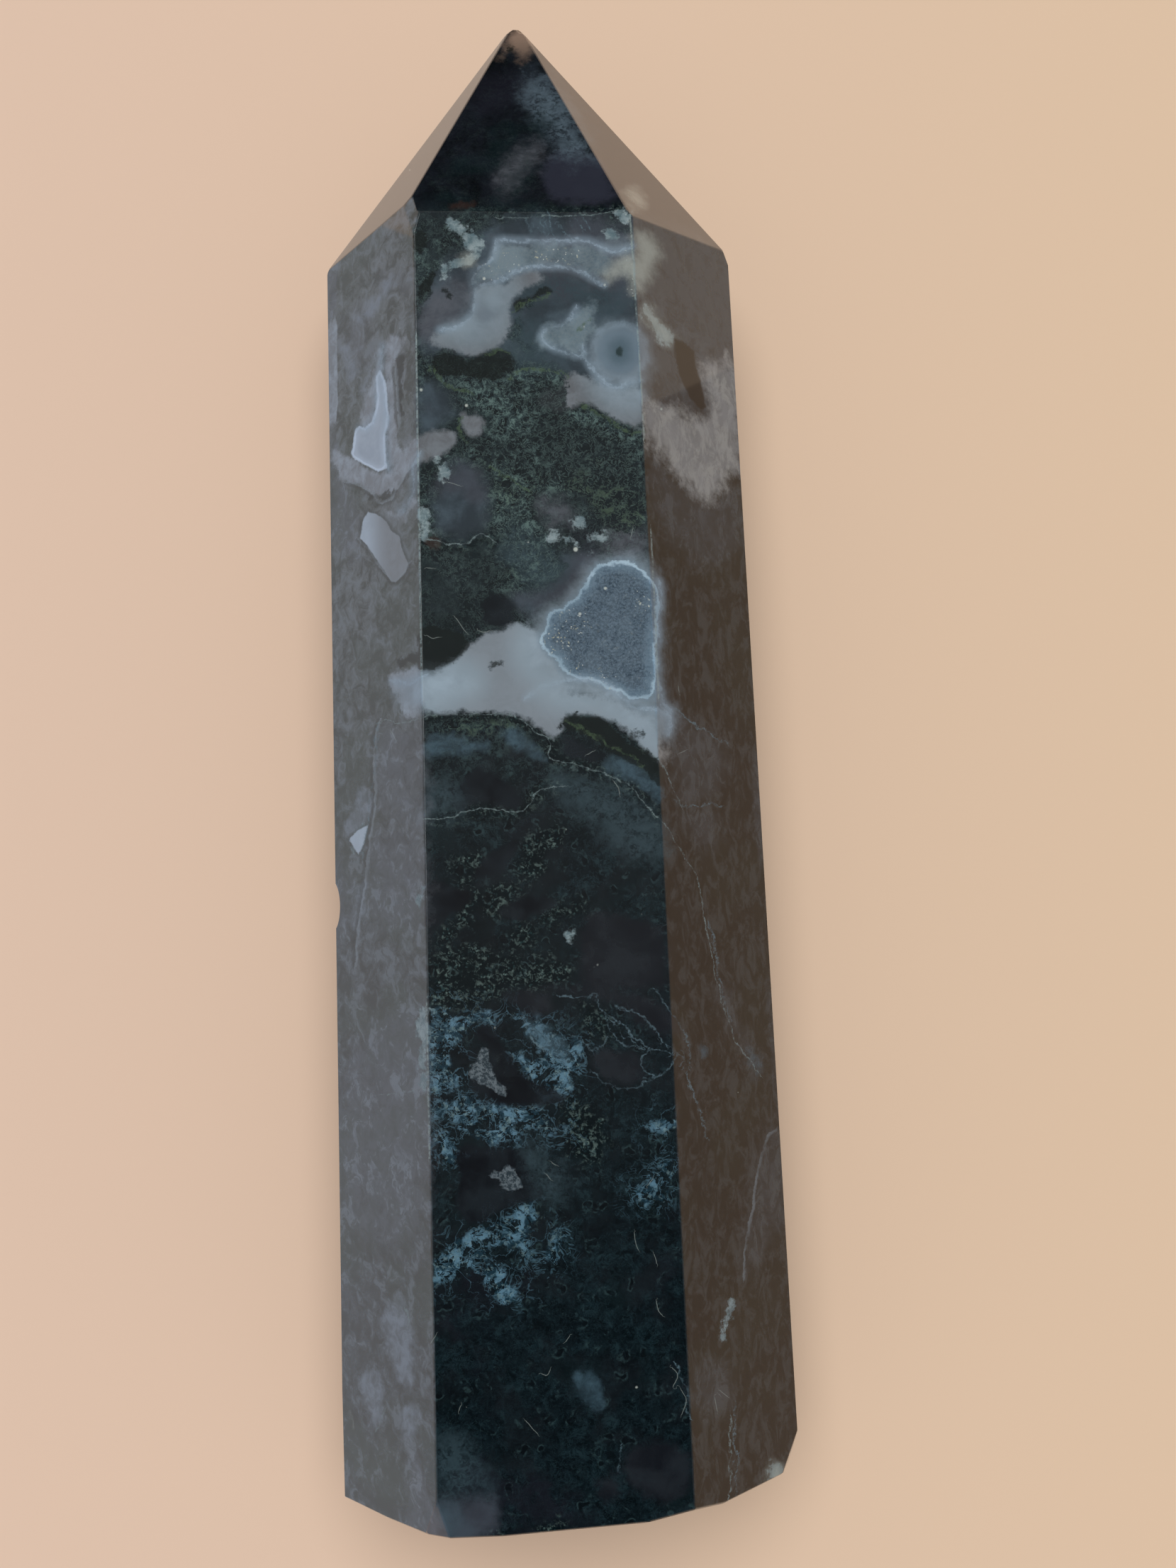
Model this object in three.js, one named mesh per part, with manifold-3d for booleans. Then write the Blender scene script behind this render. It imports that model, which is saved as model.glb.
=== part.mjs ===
// A polished moss agate point: one piece of stone, cut to a tapering six-sided column with a six-sided
// pyramid on its end, lying on one of its long faces. Millimetres, +Z up, the tip towards +Y, the origin
// under the middle of the stone's box.
import * as THREE from "three";
import { ConvexGeometry } from "three/addons/geometries/ConvexGeometry.js";
import { mergeVertices } from "three/addons/utils/BufferGeometryUtils.js";
import Module from "manifold-3d";

// Driving dimensions. In the stone's own frame the axis runs along +Y from the middle of the foot.
const SHOULDER = 78; // from the foot to where the column ends and the pyramid starts

// The six long faces. Each one's turn is its direction round the axis in degrees, 0 straight up and 90
// towards +X; foot and shoulder are how far it is from the axis there. The cutter worked by eye, so no
// two faces are quite alike.
const COLUMN_FACES = {
  top: { turn: 5.1, foot: 13.6, shoulder: 12.7 },
  right: { turn: 61, foot: 13.15, shoulder: 12.2 },
  lower_right: { turn: 115.2, foot: 13, shoulder: 11.75 },
  under: { turn: 180, foot: 13.4, shoulder: 12.35 },
  lower_left: { turn: 243, foot: 13.1, shoulder: 12.25 },
  left: { turn: 297, foot: 12.85, shoulder: 11.4 },
};

// The six faces of the pyramid. shoulder is each one's distance from the axis at the shoulder, and apex
// is the height along the axis where the face would cross it.
const TIP_FACES = {
  tip_top: { turn: 6.3, shoulder: 12.95, apex: 94.95 },
  tip_right: { turn: 58.4, shoulder: 12.5, apex: 95.3 },
  tip_lower_right: { turn: 117.2, shoulder: 11.5, apex: 94.9 },
  tip_under: { turn: 180, shoulder: 12.55, apex: 95 },
  tip_lower_left: { turn: 239.6, shoulder: 12.6, apex: 95.35 },
  tip_left: { turn: 297, shoulder: 12.35, apex: 95.4 },
};

// The foot is sawn a little out of square: how far it leans towards the tip over each millimetre across
// and each millimetre up, and the height where it crosses the axis.
const FOOT = { across: 0.042, up: 0.025, height: -0.1 };

// Small flats ground over corners where three faces meet. Beside each face is how far the flat runs
// from the corner along the edge between the other two.
const CORNER_FLATS = [
  { top: 9, left: 4, foot: 0.22 },
  { top: 1.9, left: 0.8, foot: 2.4 },
  { left: 0.5, lower_left: 0.25, foot: 7 },
  { top: 4, right: 3, foot: 0.5 },
  { right: 1.6, lower_right: 2.6, foot: 2.3 },
  { top: 1.55, left: 1.6, tip_left: 2.2 },
  { right: 0.4, lower_right: 0.6, tip_right: 0.3 },
];

// Two flats that take the point off: how far each leans, and the height where it crosses the axis.
const BLUNT_TIP = [
  { across: 0.1, up: 0.15, height: 94.8 },
  { across: -0.75, up: 0.2, height: 94.95 },
];

const EDGE_BEVEL = 0.2; // width of the polished flat along every edge
const LEAST_EDGE = 1; // shorter edges keep no bevel
const SAME_POINT = 0.03; // corners closer than this are one
const ROUNDING = 1e-6; // a point this little outside a plane still lies on it

// The shell-shaped chip on the left-hand edge: along is its distance from the foot, and depth how far it
// bites into the edge. The scoop is a ball stretched along the edge.
const CHIP = {
  faces: ["left", "lower_left"],
  along: 37.1,
  depth: 0.62,
  radius: 2,
  stretch: 1.05,
  detail: 9,
};

const STONE = { color: 0x2c3436, roughness: 0.12, metalness: 0 };

// A plane as its outward unit normal and its distance from the origin along that.
function plane(normal, point) {
  const outward = normal.clone().normalize();
  return { normal: outward, distance: outward.dot(point) };
}

// The direction straight out from the axis at a turn round it.
const roundAxis = (turn) => {
  const angle = THREE.MathUtils.degToRad(turn);
  return new THREE.Vector3(Math.sin(angle), 0, Math.cos(angle));
};

// A face that stands across the direction turn, near from the axis at the height from and far at the
// height to.
function slopedFace(turn, near, from, far, to) {
  const outward = roundAxis(turn);
  const start = outward.clone().multiplyScalar(near).setY(from);
  const rise = outward.clone().multiplyScalar(far - near).setY(to - from);
  return plane(new THREE.Vector3().crossVectors(roundAxis(turn + 90), rise), start);
}

// A cut across the axis at a height, leaning by across and up; its outside faces the tip where side
// is 1 and the foot where it is -1.
function crossCut({ across, up, height }, side) {
  return plane(new THREE.Vector3(across, side, up), new THREE.Vector3(0, height, 0));
}

// The point where three planes meet, or null where they don't.
function meet(a, b, c) {
  const bc = new THREE.Vector3().crossVectors(b.normal, c.normal);
  const scale = a.normal.dot(bc);
  if (Math.abs(scale) < ROUNDING) return null;
  const ca = new THREE.Vector3().crossVectors(c.normal, a.normal);
  const ab = new THREE.Vector3().crossVectors(a.normal, b.normal);
  bc.multiplyScalar(a.distance).addScaledVector(ca, b.distance).addScaledVector(ab, c.distance);
  return bc.divideScalar(scale);
}

// The flat over the corner of three faces, found from where it meets the corner's three edges.
function cornerFlat(reach, faces) {
  const corner = Object.keys(reach);
  const [a, b, c] = corner.map((name) => faces[name]);
  const tip = meet(a, b, c);
  const inward = new THREE.Vector3().add(a.normal).add(b.normal).add(c.normal).negate();
  const cuts = corner.map((name) => {
    const [one, other] = corner.filter((face) => face !== name).map((face) => faces[face]);
    const along = new THREE.Vector3().crossVectors(one.normal, other.normal).normalize();
    if (along.dot(inward) < 0) along.negate();
    return along.multiplyScalar(reach[name]).add(tip);
  });
  const normal = new THREE.Vector3().crossVectors(
    cuts[1].clone().sub(cuts[0]),
    cuts[2].clone().sub(cuts[0]),
  );
  if (normal.dot(inward) > 0) normal.negate();
  return plane(normal, cuts[0]);
}

// Every corner of the solid that lies inside all the planes, with the planes that meet there.
function cornersOf(planes) {
  const corners = [];
  for (let i = 0; i < planes.length; i++)
    for (let j = i + 1; j < planes.length; j++)
      for (let k = j + 1; k < planes.length; k++) {
        const point = meet(planes[i], planes[j], planes[k]);
        if (!point || planes.some((p) => p.normal.dot(point) > p.distance + ROUNDING)) continue;
        const known = corners.find((c) => c.point.distanceTo(point) < SAME_POINT);
        if (known) [i, j, k].forEach((n) => known.planes.add(n));
        else corners.push({ point, planes: new Set([i, j, k]) });
      }
  return corners;
}

// A narrow bevel plane along each edge where two of the planes meet.
function edgeBevels(planes) {
  const corners = cornersOf(planes);
  const bevels = [];
  for (let i = 0; i < planes.length; i++)
    for (let j = i + 1; j < planes.length; j++) {
      const ends = corners.filter((c) => c.planes.has(i) && c.planes.has(j));
      if (ends.length < 2 || ends[0].point.distanceTo(ends.at(-1).point) < LEAST_EDGE) continue;
      const normal = planes[i].normal.clone().add(planes[j].normal).normalize();
      const halfTurn = Math.acos(normal.dot(planes[i].normal));
      const depth = (EDGE_BEVEL / 2) * Math.tan(halfTurn);
      bevels.push({ normal, distance: normal.dot(ends[0].point) - depth });
    }
  return bevels;
}

const wasm = await Module();
wasm.setup();

function asSolid(geometry) {
  const bare = geometry.clone();
  bare.deleteAttribute("normal");
  bare.deleteAttribute("uv");
  const merged = mergeVertices(bare);
  return new wasm.Manifold(
    new wasm.Mesh({
      numProp: 3,
      vertProperties: merged.attributes.position.array,
      triVerts: new Uint32Array(merged.index.array),
    }),
  );
}

function asGeometry(solid) {
  const mesh = solid.getMesh();
  const geometry = new THREE.BufferGeometry();
  geometry.setAttribute("position", new THREE.BufferAttribute(mesh.vertProperties, 3));
  geometry.setIndex(new THREE.BufferAttribute(mesh.triVerts, 1));
  const flat = geometry.toNonIndexed();
  flat.computeVertexNormals();
  return flat;
}

// The faces by name, before their corners and edges are taken off.
function groundFaces() {
  const faces = { foot: crossCut(FOOT, -1) };
  for (const [name, { turn, foot, shoulder }] of Object.entries(COLUMN_FACES))
    faces[name] = slopedFace(turn, foot, 0, shoulder, SHOULDER);
  for (const [name, { turn, shoulder, apex }] of Object.entries(TIP_FACES))
    faces[name] = slopedFace(turn, shoulder, SHOULDER, 0, apex);
  return faces;
}

function chipScoop(faces) {
  const [a, b] = CHIP.faces.map((name) => faces[name]);
  const level = plane(new THREE.Vector3(0, 1, 0), new THREE.Vector3(0, CHIP.along, 0));
  const outward = a.normal.clone().add(b.normal).normalize();
  const centre = meet(a, b, level).addScaledVector(outward, CHIP.radius - CHIP.depth);
  const scoop = new THREE.IcosahedronGeometry(CHIP.radius, CHIP.detail);
  scoop.scale(1, CHIP.stretch, 1).translate(centre.x, centre.y, centre.z);
  return scoop;
}

function stoneGeometry() {
  const faces = groundFaces();
  const cornerFlats = CORNER_FLATS.map((reach) => cornerFlat(reach, faces));
  const tipFlats = BLUNT_TIP.map((cut) => crossCut(cut, 1));
  const planes = [...Object.values(faces), ...cornerFlats, ...tipFlats];
  planes.push(...edgeBevels(planes));
  const block = new ConvexGeometry(cornersOf(planes).map((c) => c.point));
  return asGeometry(asSolid(block).subtract(asSolid(chipScoop(faces))));
}

// Turned so that its under face lies flat on the ground, then moved over the origin.
function lyingStone() {
  const { foot, shoulder } = COLUMN_FACES.under;
  const stone = new THREE.Mesh(stoneGeometry(), new THREE.MeshStandardMaterial(STONE));
  stone.name = "moss_agate";
  stone.rotation.x = -Math.atan2(foot - shoulder, SHOULDER);
  stone.updateMatrixWorld(true);
  const box = new THREE.Box3().setFromObject(stone, true);
  const middle = box.getCenter(new THREE.Vector3());
  stone.position.set(-middle.x, -middle.y, -box.min.z);
  return stone;
}

const part = new THREE.Group();
part.add(lyingStone());

export default part;
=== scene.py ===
import math

import bpy
import numpy as np
from mathutils import Euler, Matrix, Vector
from mathutils.geometry import delaunay_2d_cdt


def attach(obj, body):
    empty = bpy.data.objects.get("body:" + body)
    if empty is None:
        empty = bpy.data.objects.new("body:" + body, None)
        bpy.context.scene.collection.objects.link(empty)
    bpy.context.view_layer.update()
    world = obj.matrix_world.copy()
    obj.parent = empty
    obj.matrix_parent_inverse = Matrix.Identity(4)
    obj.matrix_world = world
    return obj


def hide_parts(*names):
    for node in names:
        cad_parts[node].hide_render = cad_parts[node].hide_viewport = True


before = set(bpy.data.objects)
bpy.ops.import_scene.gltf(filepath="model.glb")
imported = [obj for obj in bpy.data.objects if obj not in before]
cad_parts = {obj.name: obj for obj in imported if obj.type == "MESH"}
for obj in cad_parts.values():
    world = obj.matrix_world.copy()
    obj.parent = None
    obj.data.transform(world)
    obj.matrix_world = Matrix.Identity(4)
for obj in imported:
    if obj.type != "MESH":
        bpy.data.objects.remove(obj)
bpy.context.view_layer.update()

MM = 0.001
TINY = 1e-12

# The camera looks almost straight down on the stone. Its place is in millimetres in the stone's frame.
# A pixel here is one of the 1659 x 2212 picture.
PICTURE = (1659, 2212)
FOCAL_PIXELS = 3221
SENSOR = 36
CAMERA_PLACE = (6.81, -10.52, 161.07)
CAMERA_TURN = (3.005, 1.666, -2.231)


def add_object(name, data):
    made = bpy.data.objects.new(name, data)
    bpy.context.scene.collection.objects.link(made)
    return made


def camera_turn():
    return Euler([math.radians(angle) for angle in CAMERA_TURN])


def add_camera():
    data = bpy.data.cameras.new("camera")
    data.sensor_width = SENSOR
    data.lens = FOCAL_PIXELS / max(PICTURE) * SENSOR
    data.clip_start = 0.01
    camera = add_object("camera", data)
    camera.location = [mm * MM for mm in CAMERA_PLACE]
    camera.rotation_euler = camera_turn()
    bpy.context.scene.camera = camera


def picture_place(points):
    """Where points of the stone, in millimetres, are in the picture, in pixels."""
    turned = (points - np.array(CAMERA_PLACE)) @ np.array(camera_turn().to_matrix())
    across = PICTURE[0] / 2 - FOCAL_PIXELS * turned[:, 0] / turned[:, 2]
    down = PICTURE[1] / 2 + FOCAL_PIXELS * turned[:, 1] / turned[:, 2]
    return np.stack([across, down], 1)


# The stone's mesh. Each flat facet of the solid is filled with even triangles, small enough to carry the
# markings, and facets share the points along their edges. Lengths are in millimetres.
SAME_POINT = 0.0005
FLAT_WITHIN = 0.02
SAME_WAY = 0.9  # the least dot product of a facet's normal and a normal on it
UPWARD = 0.1  # how far up the normal of a face that looks up points, at least
MAIN_FACET = 3  # the area of a main face, at least, in square millimetres
FLAT_FACET = 0.25  # the area of a face that has its own normal, at least
FINE_STEP = 0.3
COARSE_STEP = 0.46
DETAIL_STEP = 0.1
CLEAR_OF_SIDES = 0.3  # how far inner points keep from a facet's sides, as a share of its step
NO_NORMAL = (0, 1, 0.3)  # a direction in which no facet faces
TRIANGLES_INSIDE = 1  # the kind of result asked of delaunay_2d_cdt
SAME_PLACE = 1e-7


def solid_triangles(node):
    """The node's points in millimetres, with doubled ones merged, and its triangles."""
    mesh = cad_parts[node].data
    mesh.calc_loop_triangles()
    places = np.array([vertex.co for vertex in mesh.vertices]) / MM
    corners = np.array([triangle.vertices for triangle in mesh.loop_triangles])
    steps = np.round(places / SAME_POINT).astype(int)
    _, first, same = np.unique(steps, axis=0, return_index=True, return_inverse=True)
    corners = same.ravel()[corners]
    whole = np.all(corners != np.roll(corners, 1, axis=1), axis=1)
    return places[first], corners[whole]


def triangle_normals(points, corners):
    """Each triangle's normal, and its area."""
    a, b, c = points[corners[:, 0]], points[corners[:, 1]], points[corners[:, 2]]
    across = np.cross(b - a, c - a)
    size = np.linalg.norm(across, axis=1)
    return across / np.maximum(size, TINY)[:, None], size / 2


class Facet:
    """A flat face of the solid: its outward normal, its distance from the origin, and its triangles."""

    def __init__(self, normal, distance):
        self.normal = normal
        self.distance = distance
        self.area = 0
        self.triangles = []

    def holds(self, places, normal):
        within = FLAT_WITHIN if self.area > MAIN_FACET else SAME_POINT
        return normal @ self.normal > SAME_WAY and np.all(abs(places @ self.normal - self.distance) < within)

    def height(self, points):
        """The height of the facet's plane above each point's place on the ground."""
        level = points[:, 0] * self.normal[0] + points[:, 1] * self.normal[1]
        return (self.distance - level) / self.normal[2]

    def looks_up(self):
        return self.normal[2] > UPWARD

    def step(self):
        return FINE_STEP if self.looks_up() else COARSE_STEP

    def axes(self):
        """Two directions in the facet's plane."""
        first = np.cross(self.normal, NO_NORMAL)
        first /= np.linalg.norm(first)
        return np.stack([first, np.cross(self.normal, first)], 1)

    def border(self):
        """The sides that only one of the facet's triangles has, in their direction round the facet."""
        sides = {(a, b) for t in self.triangles for a, b in zip(t, np.roll(t, -1))}
        return [side for side in sides if side[::-1] not in sides]


def solid_facets(points, corners):
    """The solid's flat faces, largest triangles first."""
    normals, areas = triangle_normals(points, corners)
    facets = []
    for i in np.argsort(-areas):
        places = points[corners[i]]
        facet = next((f for f in facets if f.holds(places, normals[i])), None)
        if facet is None:
            facet = Facet(normals[i], normals[i] @ places[0])
            facets.append(facet)
        facet.area += areas[i]
        facet.triangles.append(corners[i])
    return facets


def lattice(outline, step):
    """Points of an even triangular lattice over the outline's box."""
    low, high = outline.min(axis=0), outline.max(axis=0)
    rows = np.arange(low[1], high[1], step * math.sqrt(0.75))
    across = np.arange(low[0], high[0], step)
    places = np.array([(x + step / 2 * (row % 2), y) for row, y in enumerate(rows) for x in across])
    return places.reshape(-1, 2)


def distance_to_side(places, start, end):
    along = end - start
    share = np.clip((places - start) @ along / max(along @ along, TINY), 0, 1)
    return np.linalg.norm(places - start - share[:, None] * along, axis=1)


def distance_to_sides(places, sides):
    """Each place's distance to the nearest of the sides, which are pairs of ends."""
    nearest = np.full(len(places), np.inf)
    for start, end in np.array(sides):
        nearest = np.minimum(nearest, distance_to_side(places, start, end))
    return nearest


def divide_edges(points, facets):
    """Add points along every edge between facets, and give their numbers by edge."""
    steps = {}
    for facet in facets:
        for a, b in facet.border():
            edge = (min(a, b), max(a, b))
            steps[edge] = min(steps.get(edge, COARSE_STEP), facet.step())
    along = {}
    for (a, b), step in steps.items():
        count = math.ceil(np.linalg.norm(points[b] - points[a]) / step)
        along[a, b] = list(range(len(points), len(points) + count - 1))
        points += [points[a] + (points[b] - points[a]) * k / count for k in range(1, count)]
    return along


def inner_places(facet, outline, axes):
    """Places inside the facet, in its plane, closer together where a thread or a grain is."""
    inner = lattice(outline, facet.step())
    if not facet.looks_up():
        return inner
    detail = lattice(outline, DETAIL_STEP)
    on_stone = facet.normal * facet.distance + detail @ axes.T
    return np.concatenate([inner, detail[fine_detail(picture_place(on_stone))]])


def fill_facet(facet, points, along):
    """Add points inside the facet, and give its small triangles."""
    chains = []
    for a, b in facet.border():
        middle = along[min(a, b), max(a, b)]
        chain = [a, *(middle if a < b else reversed(middle)), b]
        chains += list(zip(chain, chain[1:]))
    numbers = sorted({number for side in chains for number in side})
    place_of = {number: place for place, number in enumerate(numbers)}
    ends = [(place_of[a], place_of[b]) for a, b in chains]
    axes = facet.axes()
    outline = np.array([points[number] for number in numbers]) @ axes
    inner = inner_places(facet, outline, axes)
    sides = [(points[a] @ axes, points[b] @ axes) for a, b in facet.border()]
    inner = inner[distance_to_sides(inner, sides) > facet.step() * CLEAR_OF_SIDES]
    places = [Vector(place) for place in np.concatenate([outline, inner])]
    _, _, faces, sources, _, _ = delaunay_2d_cdt(places, ends, [], TRIANGLES_INSIDE, SAME_PLACE)
    numbers += range(len(points), len(points) + len(inner))
    points += [facet.normal * facet.distance + axes @ place for place in inner]
    return [[numbers[sources[corner][0]] for corner in face] for face in faces]


def fine_mesh(points, facets):
    """The solid's surface in small triangles: the points, the triangles, and the facet of each one."""
    points = list(points)
    along = divide_edges(points, facets)
    corners, facet_of = [], []
    for number, facet in enumerate(facets):
        triangles = fill_facet(facet, points, along)
        corners += triangles
        facet_of += [number] * len(triangles)
    points, corners, facet_of = np.array(points), np.array(corners), np.array(facet_of)
    normals, _ = triangle_normals(points, corners)
    outward = np.array([facet.normal for facet in facets])[facet_of]
    backwards = np.sum(normals * outward, axis=1) < 0
    corners[backwards] = corners[backwards][:, ::-1]
    used, corners = np.unique(corners, return_inverse=True)
    return points[used], corners.reshape(-1, 3), facet_of


solid_points, solid_corners = solid_triangles("moss_agate")
facets = solid_facets(solid_points, solid_corners)
main_facets = [facet for facet in facets if facet.area > MAIN_FACET]


def depth_below_upper_faces(points):
    """How far under the faces that look up each point lies, straight down, in millimetres."""
    heights = [facet.height(points) for facet in main_facets if facet.looks_up()]
    return np.maximum(np.min(heights, axis=0) - points[:, 2], 0)


def soft_normals(points, corners, facet_of):
    """A normal at each point: the biggest flat face's that it lies on, so that the narrow bevels between
    faces look rounded, and the average where it lies on none."""
    normals, areas = triangle_normals(points, corners)
    sums = np.zeros_like(points)
    biggest = np.full(len(points), -1)
    order = np.argsort([facet.area for facet in facets])
    rank = np.argsort(order)
    for side in range(3):
        np.add.at(sums, corners[:, side], normals * areas[:, None])
        np.maximum.at(biggest, corners[:, side], rank[facet_of])
    sums /= np.maximum(np.linalg.norm(sums, axis=1), TINY)[:, None]
    for place, number in enumerate(order):
        if facets[number].area > FLAT_FACET:
            sums[biggest == place] = facets[number].normal
    return sums


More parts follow.
